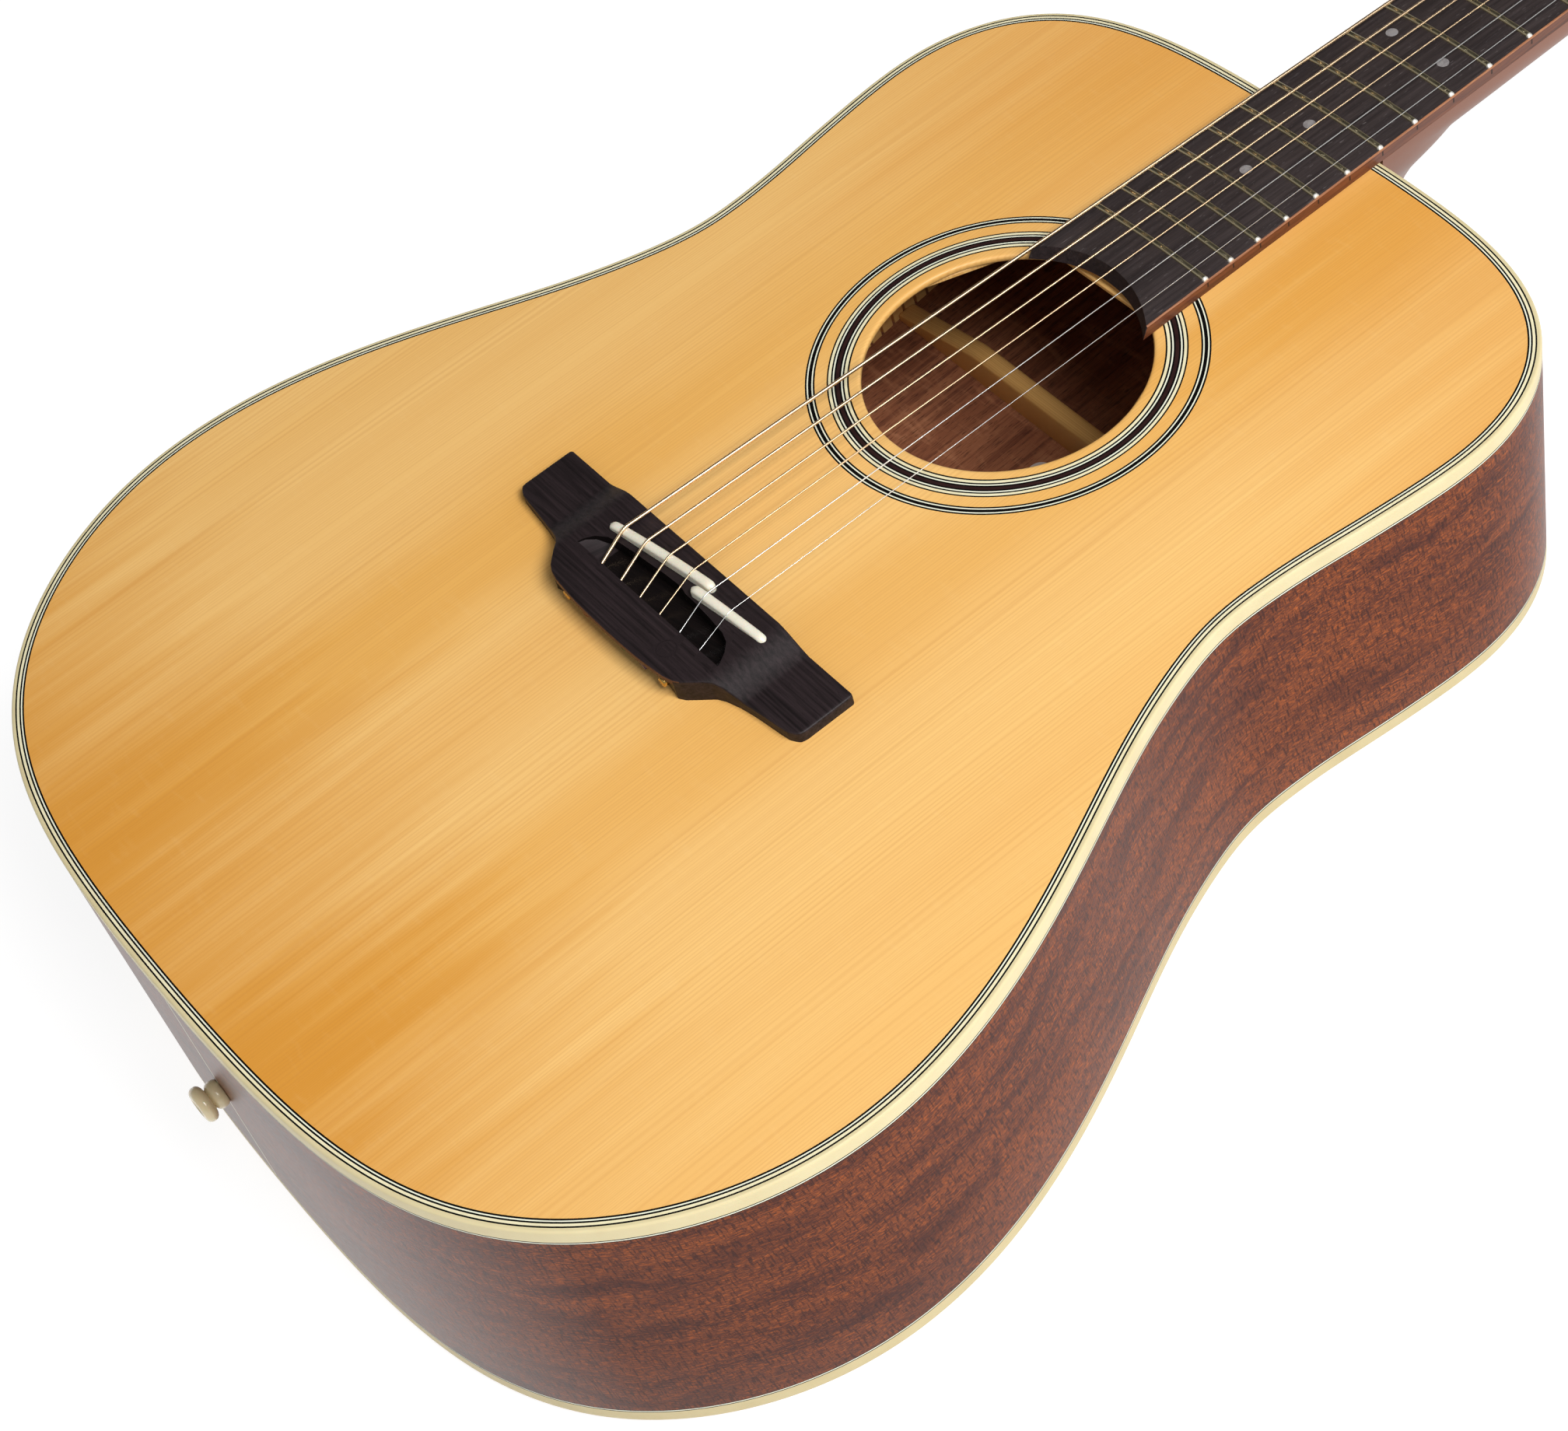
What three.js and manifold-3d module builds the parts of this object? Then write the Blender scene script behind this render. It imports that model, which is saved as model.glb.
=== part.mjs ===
// Flat-top steel-string acoustic guitar, dreadnought body, 14 frets clear of the body.
// Millimetres, +Z up, the guitar lies on its back: +X points to the headstock, +Y to the bass side.
// Inside the model X is measured from the nut (negative over the body) and Z from the plane of the soundboard's rim.
// The last lines tip that frame so that the back's rim is level and put the origin under the middle of the object.
import * as THREE from 'three';
import { mergeVertices } from 'three/addons/utils/BufferGeometryUtils.js';
import Module from 'manifold-3d';

const wasm = await Module();
wasm.setup();

// ---------- driving dimensions ----------
const SCALE = 644;              // nut to theoretical bridge line
const GAP = 0.3;                // clearance kept between touching pieces
const HOLE_X = -507.7;          // centre of the soundhole
const HOLE_R = 50.4;
const OUTLINE = [205.095, -88.505, 64.136, -28.333, -14.947, 11.024, -8.606, 4.369, 1.4, -1.581, 0.71, 0.029,
  -0.803, 0.649, -0.223, -0.272, 0.36, -0.254, 0.048, 0.088, -0.11]; // cosine series of the top's edge about the soundhole
const NSEG = 56;                // stations round the body
const RIM = 4.65;               // top's edge to the outer face of the binding and sides
const PURF_OUT = 2.95, BIND_IN = 3.25;
const BIND_H = 6.0, PURF_H = 2.0;
const SIDE_T = 2.2;
const TOP_T = 2.8, BACK_T = 2.5;
const TOP_ARCH = 3.0, BACK_ARCH = 5.0;
const DEPTH_NECK = 105.7, DEPTH_TAIL = 125.5;
const X_NECK_END = -358.4, X_TAIL_END = -862.2;
const BACK_FLAT = 0.6;          // how deep the resting flat is cut into the back's arch
const REST_TILT = Math.atan((DEPTH_TAIL - DEPTH_NECK) / (X_NECK_END - X_TAIL_END)); // levels the back's rim
const NECK_PIVOT_X = -358, NECK_TILT = Math.atan(0.018);
const BOARD_T = 6.2, BOARD_R = 305, BOARD_BOTTOM = 0.3;
const BOARD_W0 = 43.0, BOARD_TAPER = 0.0355;
const BOARD_END_X = -471;
const FRETS = 20, FRET_W = 2.3, FRET_H = 1.1, FRET_INSET = 0.7;
const NUT_T = 5.5;
const HEAD_TILT = 14 * Math.PI / 180, HEAD_L = 178, HEAD_T = 14.2, VENEER_T = 1.5;
const HEEL_DEPTH = 101, CAP_T = 3.2;
const BRIDGE_Z = 3.25, BRIDGE_H = 8.85, WING_H = 3.5;
const SADDLE_W = 3.0, SADDLE_TOP = 15.9;
const STRING_R = [0.152, 0.215, 0.305, 0.405, 0.535, 0.675];      // strings 1 to 6
const BRIDGE_Y = [-27.5, -16.5, -5.5, 5.5, 16.5, 27.5];
const BALL_Y = [-28.6, -18, -6.8, 3.9, 14.2, 25];
const NUT_Y = [-17.75, -10.65, -3.55, 3.55, 10.65, 17.75];
const POST_H = [46, 92, 138, 138, 92, 46];                         // distance of each tuner from the nut
const POST_Y = [-20, -22.2, -24.6, 24.6, 22.2, 20];
const POST_R = 3.0, POST_TOP = 10.2;

// ---------- materials ----------
const mat = (hex, roughness, metalness = 0) => new THREE.MeshStandardMaterial({ color: hex, roughness, metalness });
const M = {
  spruce: mat(0xe9b868, 0.5), mahogany: mat(0x6e3a24, 0.4), brace: mat(0xd9b98a, 0.7), cream: mat(0xe8dfbf, 0.35),
  inlay: mat(0x2b201c, 0.4), dark: mat(0x2c2022, 0.55), bone: mat(0xf2ead6, 0.35), steel: mat(0xc9c9c9, 0.25, 1),
  bronze: mat(0xc08a5a, 0.35, 1), nickel: mat(0xbcb69a, 0.3, 1), chrome: mat(0xd5d5d8, 0.12, 1), neck: mat(0x7c4529, 0.45),
  black: mat(0x101010, 0.3),
};

// ---------- geometry helpers ----------
function close(points, tris) {
  let v = 0;
  for (const [a, b, c] of tris) {
    const A = points[a], B = points[b], C = points[c];
    v += A[0] * (B[1] * C[2] - B[2] * C[1]) - A[1] * (B[0] * C[2] - B[2] * C[0]) + A[2] * (B[0] * C[1] - B[1] * C[0]);
  }
  const g = new THREE.BufferGeometry();
  g.setAttribute('position', new THREE.Float32BufferAttribute(points.flat(), 3));
  g.setIndex(tris.flatMap(([a, b, c]) => (v < 0 ? [a, c, b] : [a, b, c])));
  return g;
}
// closed ring of closed sections: section(i) gives the points of station i
function ring(n, section) {
  const pts = [], tris = [];
  const secs = Array.from({ length: n }, (_, i) => section(i)), m = secs[0].length;
  secs.forEach(s => pts.push(...s));
  for (let i = 0; i < n; i++) for (let j = 0; j < m; j++) {
    const a = i * m + j, b = ((i + 1) % n) * m + j, c = ((i + 1) % n) * m + (j + 1) % m, d = i * m + (j + 1) % m;
    tris.push([a, b, c], [a, c, d]);
  }
  return close(pts, tris);
}
// open run of closed sections with a cap at each end; the first cap point is each section's own middle
function loft(secs) {
  const pts = [], tris = [], n = secs.length, m = secs[0].length;
  secs.forEach(s => pts.push(...s));
  for (let i = 0; i + 1 < n; i++) for (let j = 0; j < m; j++) {
    const a = i * m + j, b = (i + 1) * m + j, c = (i + 1) * m + (j + 1) % m, d = i * m + (j + 1) % m;
    tris.push([a, b, c], [a, c, d]);
  }
  for (const [i, s] of [[0, 1], [n - 1, -1]]) {
    const mid = secs[i].reduce((q, p) => [q[0] + p[0] / m, q[1] + p[1] / m, q[2] + p[2] / m], [0, 0, 0]);
    pts.push(mid);
    for (let j = 0; j < m; j++) {
      const a = i * m + j, b = i * m + (j + 1) % m, c = pts.length - 1;
      tris.push(s > 0 ? [a, b, c] : [b, a, c]);
    }
  }
  return close(pts, tris);
}
// flat outline in X, Y between two heights
function slab(outline, z0, z1) {
  const s = new THREE.Shape(outline.map(p => new THREE.Vector2(p[0], p[1])));
  const g = new THREE.ExtrudeGeometry(s, { depth: z1 - z0, bevelEnabled: false, curveSegments: 1 });
  g.translate(0, 0, z0);
  return g;
}
// outline in Y, Z between two X
function slabX(outline, x0, x1) {
  const g = slab(outline, x0, x1);
  g.applyMatrix4(new THREE.Matrix4().makeBasis(new THREE.Vector3(0, 1, 0), new THREE.Vector3(0, 0, 1), new THREE.Vector3(1, 0, 0)));
  return g;
}
const box = (x0, x1, y0, y1, z0, z1) => {
  const g = new THREE.BoxGeometry(x1 - x0, y1 - y0, z1 - z0);
  g.translate((x0 + x1) / 2, (y0 + y1) / 2, (z0 + z1) / 2);
  return g;
};
// turned solid: profile of [distance along axis, radius], starting and ending on the axis
function turned(profile, from, dir, seg = 12) {
  const g = new THREE.LatheGeometry(profile.map(p => new THREE.Vector2(p[1], p[0])), seg);
  const q = new THREE.Quaternion().setFromUnitVectors(new THREE.Vector3(0, 1, 0), new THREE.Vector3(...dir).normalize());
  g.applyQuaternion(q);
  g.translate(...from);
  return g;
}
const rod = (from, to, r, seg = 12) => {
  const a = new THREE.Vector3(...from), b = new THREE.Vector3(...to), l = a.distanceTo(b);
  return turned([[0, 0], [0, r], [l, r], [l, 0]], from, b.sub(a).toArray(), seg);
};
function toM(g) {
  const h = new THREE.BufferGeometry();
  h.setAttribute('position', g.getAttribute('position').clone());
  if (g.index) h.setIndex(g.index.clone());
  const w = mergeVertices(h, 1e-4);
  const idx = w.index.array, tri = [];
  for (let i = 0; i < idx.length; i += 3)
    if (idx[i] !== idx[i + 1] && idx[i + 1] !== idx[i + 2] && idx[i] !== idx[i + 2]) tri.push(idx[i], idx[i + 1], idx[i + 2]);
  return new wasm.Manifold(new wasm.Mesh({ numProp: 3, vertProperties: new Float32Array(w.getAttribute('position').array), triVerts: new Uint32Array(tri) }));
}
function fromM(m) {
  const r = m.getMesh();
  const g = new THREE.BufferGeometry();
  g.setAttribute('position', new THREE.BufferAttribute(new Float32Array(r.vertProperties), 3));
  g.setIndex(new THREE.BufferAttribute(new Uint32Array(r.triVerts), 1));
  return g;
}
const join = (...gs) => fromM(gs.map(toM).reduce((a, b) => a.add(b)));
const cut = (g, ...tools) => fromM(tools.map(toM).reduce((a, b) => a.subtract(b), toM(g)));
class Polyline extends THREE.Curve {   // a path through exactly these points
  constructor(pts) { super(); this.pts = pts.map(p => new THREE.Vector3(...p)); }
  getPoint(t) {
    const k = Math.min(Math.max(t, 0), 1) * (this.pts.length - 1), i = Math.min(Math.floor(k), this.pts.length - 2);
    return this.pts[i].clone().lerp(this.pts[i + 1], k - i);
  }
  getUtoTmapping(u) { return u; }
}
function tube(pts, r, sides) {
  const s = new THREE.Shape(Array.from({ length: sides }, (_, i) => new THREE.Vector2(r * Math.cos(2 * Math.PI * (i + 0.5) / sides), r * Math.sin(2 * Math.PI * (i + 0.5) / sides))));
  return new THREE.ExtrudeGeometry(s, { steps: pts.length - 1, extrudePath: new Polyline(pts), bevelEnabled: false });
}

// ---------- body outline and arches ----------
const polar = a => OUTLINE.reduce((s, c, k) => s + c * Math.cos(k * a), 0);
const DENSE = 1440, dense = [];
for (let i = 0; i <= DENSE; i++) {
  const a = Math.PI * i / DENSE, r = polar(a);
  dense.push([HOLE_X + r * Math.cos(a), r * Math.sin(a)]);
}
const arc = [0];
for (let i = 1; i <= DENSE; i++) arc.push(arc[i - 1] + Math.hypot(dense[i][0] - dense[i - 1][0], dense[i][1] - dense[i - 1][1]));
function atArc(s) {                    // point and outward normal on the bass half, s from the neck end
  let lo = 0, hi = DENSE;
  while (hi - lo > 1) { const m = (lo + hi) >> 1; if (arc[m] <= s) lo = m; else hi = m; }
  const k = (s - arc[lo]) / (arc[lo + 1] - arc[lo]), p = dense[lo], q = dense[lo + 1];
  const i0 = Math.max(lo - 3, 0), i1 = Math.min(lo + 4, DENSE);
  let t = [dense[i1][0] - dense[i0][0], dense[i1][1] - dense[i0][1]];
  if (s < 1e-6 || s > arc[DENSE] - 1e-6) t = [0, 1];
  const l = Math.hypot(...t), n = s > arc[DENSE] - 1e-6 ? [-1, 0] : [t[1] / l, -t[0] / l];
  return { p: [p[0] + k * (q[0] - p[0]), p[1] + k * (q[1] - p[1])], n };
}
const arcAtY = (y, tail) => {          // arc length where the outline reaches this y, near the neck or near the tail
  for (let i = 1; i <= DENSE; i++) {
    const j = tail ? DENSE - i : i;
    if (dense[j][1] >= y) return arc[j];
  }
};
const L = arc[DENSE], HALF = NSEG / 2;
const rim = [];                        // stations round the whole body, 0 at the neck, HALF at the tail
for (let i = 0; i < NSEG; i++) {
  const k = i <= HALF ? i : NSEG - i, { p, n } = atArc(L * k / HALF), s = i <= HALF ? 1 : -1;
  rim.push({ p: [p[0], s * p[1]], n: [n[0], s * n[1]] });
}
const off = (r, o) => [r.p[0] + o * r.n[0], r.p[1] + o * r.n[1]];
function halfWidth(x) {
  let b = 0;
  for (let i = 0; i < DENSE; i++) {
    const [x0, y0] = dense[i], [x1, y1] = dense[i + 1];
    if ((x0 - x) * (x1 - x) <= 0 && x0 !== x1) b = Math.max(b, y0 + (x - x0) / (x1 - x0) * (y1 - y0));
  }
  return b;
}
function arch(x, y) {                  // 1 in the middle of the plate, 0 at its edge
  const u = 1 - ((x + 610.3) / 247.3) ** 2, b = halfWidth(x);
  if (u <= 0 || b <= 0) return 0;
  return u * Math.max(0, 1 - (y / b) ** 2);
}
const topZ = (x, y) => TOP_ARCH * arch(x, y);
const rimBack = x => -(DEPTH_NECK + (DEPTH_TAIL - DEPTH_NECK) * (X_NECK_END - x) / (X_NECK_END - X_TAIL_END));
const backZ = (x, y) => rimBack(x) - BACK_ARCH * arch(x, y);

const body = new THREE.Group();
const neck = new THREE.Group();
const head = new THREE.Group();
const put = (group, name, geometry, material) => {
  geometry.computeVertexNormals();
  const m = new THREE.Mesh(geometry, material);
  m.name = name;
  group.add(m);
  return m;
};

// ---------- soundboard and what is let into it ----------
const G1 = [53.65, 61.95], G2 = [65.85, 69.75], GROOVE = 1.2;
const ang = rim.map(r => Math.atan2(r.p[1], r.p[0] - HOLE_X));
put(body, 'soundboard', ring(NSEG, i => {
  const c = Math.cos(ang[i]), s = Math.sin(ang[i]), e = off(rim[i], -0.15);
  const at = (r, dz) => { const x = HOLE_X + r * c, y = r * s; return [x, y, topZ(x, y) + dz]; };
  const out = (k, dz) => { const x = HOLE_X + G2[1] * c, y = G2[1] * s, X = x + k * (e[0] - x), Y = y + k * (e[1] - y); return [X, Y, topZ(X, Y) + dz]; };
  return [at(HOLE_R, 0), at(G1[0], 0), at(G1[0], -GROOVE), at(G1[1], -GROOVE), at(G1[1], 0), at(G2[0], 0), at(G2[0], -GROOVE),
    at(G2[1], -GROOVE), out(0, 0), out(0.36, 0), out(0.7, 0), out(1, 0),
    out(1, -TOP_T), out(0.7, -TOP_T), out(0.36, -TOP_T), at(HOLE_R, -TOP_T)];
}), M.spruce);
for (const [name, r0, r1] of [['rosette_inner', G1[0] + GAP, G1[1] - GAP], ['rosette_outer', G2[0] + GAP, G2[1] - GAP]])
  put(body, name, ring(NSEG, i => {
    const at = (r, dz) => { const x = HOLE_X + r * Math.cos(ang[i]), y = r * Math.sin(ang[i]); return [x, y, topZ(x, y) + dz]; };
    return [at(r0, 0), at(r1, 0), at(r1, GAP - GROOVE), at(r0, GAP - GROOVE)];
  }), M.inlay);
const band = (o0, o1, z0, z1) => ring(NSEG, i => {
  const a = off(rim[i], o0), b = off(rim[i], o1);
  return [[...a, z1(a[0])], [...b, z1(b[0])], [...b, z0(b[0])], [...a, z0(a[0])]];
});
put(body, 'purfling_top', band(0.15, PURF_OUT, () => -PURF_H, () => 0), M.cream);
put(body, 'binding_top', band(BIND_IN, RIM, () => -BIND_H, () => 0), M.cream);
put(body, 'binding_back', band(BIND_IN, RIM, rimBack, x => rimBack(x) + BIND_H), M.cream);

// ---------- back, with the small flat that it rests on ----------
const CX = -600, backRings = [0.36, 0.7, 1];
const level = (x, z) => -x * Math.sin(REST_TILT) + z * Math.cos(REST_TILT);
const restZ = level(CX, backZ(CX, 0)) + BACK_FLAT;
const outerBack = (x, y) => Math.max(backZ(x, y), (restZ + x * Math.sin(REST_TILT)) / Math.cos(REST_TILT));
{
  const pts = [[CX, 0, outerBack(CX, 0)], [CX, 0, backZ(CX, 0) + BACK_T]], tris = [];
  for (const k of backRings) for (let i = 0; i < NSEG; i++) {
    const e = off(rim[i], PURF_OUT), x = CX + k * (e[0] - CX), y = k * e[1];
    pts.push([x, y, outerBack(x, y)], [x, y, backZ(x, y) + BACK_T]);
  }
  const id = (j, i, s) => 2 + 2 * (j * NSEG + (i % NSEG)) + s;
  for (let i = 0; i < NSEG; i++) {
    tris.push([0, id(0, i + 1, 0), id(0, i, 0)], [1, id(0, i, 1), id(0, i + 1, 1)]);
    for (let j = 0; j + 1 < backRings.length; j++) {
      tris.push([id(j, i, 0), id(j, i + 1, 0), id(j + 1, i + 1, 0)], [id(j, i, 0), id(j + 1, i + 1, 0), id(j + 1, i, 0)]);
      tris.push([id(j, i, 1), id(j + 1, i + 1, 1), id(j, i + 1, 1)], [id(j, i, 1), id(j + 1, i, 1), id(j + 1, i + 1, 1)]);
    }
    const j = backRings.length - 1;
    tris.push([id(j, i, 0), id(j, i + 1, 0), id(j, i + 1, 1)], [id(j, i, 0), id(j, i + 1, 1), id(j, i, 1)]);
  }
  put(body, 'back_plate', close(pts, tris), M.mahogany);
}

// ---------- sides, linings and blocks ----------
const TENON_W = 10, TENON_X = -376, BUTTON_Z = -62;
function half(sign, s0, s1, section) { // run along one half of the outline, from arc length s0 to s1
  const st = [s0];
  for (let i = 1; i < HALF; i++) { const s = L * i / HALF; if (s > s0 + 6 && s < s1 - 6) st.push(s); }
  st.push(s1);
  return loft(st.map(s => {
    const { p, n } = atArc(s), r = { p: [p[0], sign * p[1]], n: [n[0], sign * n[1]] };
    return section(o => off(r, o));
  }));
}
const sideSec = at => {
  const a = at(RIM - SIDE_T), b = at(RIM);
  return [[...a, -BIND_H - GAP], [...b, -BIND_H - GAP], [...b, rimBack(b[0]) + BIND_H + GAP], [...a, rimBack(a[0]) + BIND_H + GAP]];
};
const screwHole = rod([-868, 0, BUTTON_Z], [-840, 0, BUTTON_Z], 2.3, 12);
const sideEnds = [arcAtY(TENON_W + GAP, false), arcAtY(0.15, true)];
put(body, 'side_bass', cut(half(1, ...sideEnds, sideSec), screwHole), M.mahogany);
put(body, 'side_treble', cut(half(-1, ...sideEnds, sideSec), screwHole), M.mahogany);
const lineEnds = [arcAtY(41, false), arcAtY(38, true)];
for (const [s, n] of [[1, 'bass'], [-1, 'treble']]) {
  put(body, 'lining_top_' + n, half(s, ...lineEnds, at => {
    const a = at(-4.6), b = at(RIM - SIDE_T - GAP);
    return [[...a, -TOP_T - GAP], [...b, -TOP_T - GAP], [...b, -16], [...a, -9]];
  }), M.brace);
  put(body, 'lining_back_' + n, half(s, ...lineEnds, at => {
    const a = at(-4.6), b = at(RIM - SIDE_T - GAP), z = x => rimBack(x) + BACK_T + GAP;
    return [[...a, z(a[0])], [...b, z(b[0])], [...b, z(b[0]) + 13], [...a, z(a[0]) + 6]];
  }), M.brace);
}
const blockPlan = (tail, halfW, flatX) => {
  const pts = [];
  for (let k = -3; k <= 3; k++) {
    const y = halfW * k / 3, s = k === 0 ? (tail ? L : 0) : arcAtY(Math.abs(y), tail), { p, n } = atArc(s), g = Math.sign(k) || 1;
    pts.push(off({ p: [p[0], g * p[1]], n: [n[0], g * n[1]] }, RIM - SIDE_T - GAP - 0.15));
  }
  pts.push([flatX, halfW], [flatX, -halfW]);
  return pts;
};
const blockBottom = x => rimBack(x) + BACK_T + GAP;
const block = (plan, z0, z1) => {
  const g = slab(plan, 0, 1), a = g.getAttribute('position');
  for (let i = 0; i < a.count; i++) a.setZ(i, a.getZ(i) > 0.5 ? z1 : z0(a.getX(i)));
  return g;
};
put(body, 'neck_block', cut(block(blockPlan(false, 38, -400), blockBottom, -TOP_T - GAP),
  box(TENON_X - GAP, -350, -TENON_W - GAP, TENON_W + GAP, -80.6, 5),
  box(-410, -370, -3.8, 3.8, -15, 5)), M.brace);
put(body, 'tail_block', cut(block(blockPlan(true, 35, -840), blockBottom, -TOP_T - GAP), rod([-868, 0, BUTTON_Z], [-838, 0, BUTTON_Z], 2.3, 12)), M.brace);

// ---------- braces ----------
const BRACE_GAP = 0.45;
function brace(a, b, w, h, face, n = 10, endH = 3, notch = null) { // bar from a to b on a plate, its glued face following the arch
  const d = [b[0] - a[0], b[1] - a[1]], l = Math.hypot(...d), t = [d[0] / l, d[1] / l], q = [-t[1], t[0]];
  const secs = [];
  for (let i = 0; i <= n; i++) {
    const s = l * i / n, e = Math.min(s, l - s), k = Math.min(1, e / 55), hh = endH + (h - endH) * (k * k * (3 - 2 * k));
    const at = (o, f) => { const x = a[0] + s * t[0] + o * q[0], y = a[1] + s * t[1] + o * q[1]; return [x, y, face(x, y, f * hh)]; };
    secs.push([at(-w / 2, 0), at(w / 2, 0), at(w / 2, 0.55), at(w / 4, 1), at(-w / 4, 1), at(-w / 2, 0.55)]);
  }
  return loft(secs);
}
const underTop = (x, y, d) => topZ(x, y) - TOP_T - BRACE_GAP - d;
const onBack = (x, y, d) => backZ(x, y) + BACK_T + BRACE_GAP + d;
const XC = -586, XA = 47.5 * Math.PI / 180, XUP = 160, XDN = 236;
const leg = s => [[XC + XUP * Math.cos(XA), s * XUP * Math.sin(XA)], [XC - XDN * Math.cos(XA), -s * XDN * Math.sin(XA)]];
{
  const A = brace(...leg(1), 8, 15, underTop, 12), B = brace(...leg(-1), 8, 15, underTop, 12);
  const zc = topZ(XC, 0) - TOP_T - BRACE_GAP - 7.5;
  const lap = (s, z0, z1) => {
    const g = box(-16, 16, -4 - GAP, 4 + GAP, z0, z1);
    g.rotateZ(s * XA); g.translate(XC, 0, 0); return g;
  };
  put(body, 'x_brace_a', cut(A, lap(-1, zc - 12, zc + GAP / 2)), M.brace);
  put(body, 'x_brace_b', cut(B, lap(1, zc - GAP / 2, zc + 12)), M.brace);
}
put(body, 'transverse_brace', brace([-432, -128], [-432, 128], 12, 14, underTop, 10), M.brace);
for (const [i, x, w, h, e] of [[1, -460, 8, 15, 9], [2, -556, 8, 15, 9], [3, -660, 18, 9, 9], [4, -760, 18, 9, 9]]) {
  const b = Math.min(halfWidth(x - w / 2), halfWidth(x + w / 2)) - e;
  put(body, 'back_brace_' + i, brace([x, -b], [x, b], w, h, onBack, 10), M.brace);
}
put(body, 'bridge_plate', loft([-1, -0.6, -0.25, 0, 0.25, 0.6, 1].map(k => {
  const f = [-636, 42 * k], r = [-682, 88 * k], z = (p, d) => [...p, topZ(p[0], p[1]) - TOP_T - BRACE_GAP - d];
  return [z(f, 0), z(r, 0), z(r, 2.5), z(f, 2.5)];
})), M.mahogany);

// ---------- bridge and saddles ----------
const BT = BRIDGE_Z + BRIDGE_H;
const rear = [[-660, 78], [-662.5, 74], [-663.8, 64], [-665.6, 52.5], [-668.8, 43.8], [-676, 36.5], [-678.5, 30], [-679.7, 17]];
const bridgePlan = [[-638.5, 77], [-639.5, 78], ...rear, [-680, 0], ...rear.map(p => [p[0], -p[1]]).reverse(), [-639.5, -78], [-638.5, -77]];
const scoop = s => {
  const p = [[40, BT + 0.01], [43, BT - 0.5], [46.5, BT - 2.2], [50, BRIDGE_Z + WING_H + 1.1], [53, BRIDGE_Z + WING_H + 0.25], [56, BRIDGE_Z + WING_H], [85, BRIDGE_Z + WING_H], [85, BT + 5], [40, BT + 5]];
  return slabX(s > 0 ? p : p.map(([y, z]) => [-y, z]).reverse(), -700, -630);
};
const recess = [[-663.6, 37.6], [-659.5, 35.8], [-654.5, 30.8], [-653.4, 24.5], [-652.6, 12], [-651.6, 0], [-651.6, -5], [-652.4, -8], [-652.4, -13], [-653.9, -30.5], [-657, -36.1], [-663.5, -40.3]];
const stadium = (a, b, w, n = 4) => {
  const d = [b[0] - a[0], b[1] - a[1]], l = Math.hypot(...d), f = Math.atan2(d[1], d[0]), r = w / 2, c0 = [a[0] + r * d[0] / l, a[1] + r * d[1] / l], c1 = [b[0] - r * d[0] / l, b[1] - r * d[1] / l], pts = [];
  for (let i = 0; i <= n; i++) pts.push([c1[0] + r * Math.cos(f - Math.PI / 2 + Math.PI * i / n), c1[1] + r * Math.sin(f - Math.PI / 2 + Math.PI * i / n)]);
  for (let i = 0; i <= n; i++) pts.push([c0[0] + r * Math.cos(f + Math.PI / 2 + Math.PI * i / n), c0[1] + r * Math.sin(f + Math.PI / 2 + Math.PI * i / n)]);
  return pts;
};
const saddles = { saddle_main: [[-651.3, 35], [-645, -15]], saddle_treble: [[-650, -9.5], [-646.3, -43.5]] };
const crown = y => SADDLE_TOP - y * y / (2 * BOARD_R);
const saddleX = i => {
  const [a, b] = i < 2 ? saddles.saddle_treble : saddles.saddle_main, k = (BRIDGE_Y[i] - a[1]) / (b[1] - a[1]);
  return a[0] + k * (b[0] - a[0]);
};
const ballEnd = i => [-678.2, BALL_Y[i], 7.7];
const mouth = i => [-663.2, BALL_Y[i] + (BRIDGE_Y[i] - BALL_Y[i]) * 0.55, 8.4];
const beyond = (a, b, k) => a.map((v, j) => v + k * (b[j] - v));
// undercut along the foot of the rear edge, where the ball ends sit under a thin lip
const rearX = y => {
  const r = [[-660, 78], ...rear.slice(1), [-680, 0]], a = Math.abs(y);
  for (let i = 0; i + 1 < r.length; i++) if (a <= r[i][1] && a >= r[i + 1][1]) {
    const k = (a - r[i + 1][1]) / (r[i][1] - r[i + 1][1]);
    return r[i + 1][0] + k * (r[i][0] - r[i + 1][0]);
  }
  return -680;
};
const undercut = [-34, -31, -26, -18, -8, 0, 8, 18, 26, 31, 34].map(y => [rearX(y) + 3.4 * (1 - (Math.abs(y) / 34.001) ** 6), y]).concat([[-690, 34], [-690, -34]]);
put(body, 'bridge', cut(slab(bridgePlan, BRIDGE_Z, BT), scoop(1), scoop(-1), slab(recess, BT - 5.2, BT + 3), slab(undercut, 0, 10),
  ...Object.values(saddles).map(([a, b]) => slab(stadium(beyond(b, a, 1 + 0.3 / 50), beyond(a, b, 1 + 0.3 / 50), SADDLE_W + 2 * GAP), BT - 6.5, BT + 5)),
  ...STRING_R.map((r, i) => rod(beyond(mouth(i), ballEnd(i), 1.4), beyond(ballEnd(i), mouth(i), 1.3), Math.max(r, 0.3) + 0.5, 8)),
  ...BALL_Y.map(y => rod([-684, y, 7.6], [-676.2, y, 7.7], 2.5, 8))), M.dark);
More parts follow.
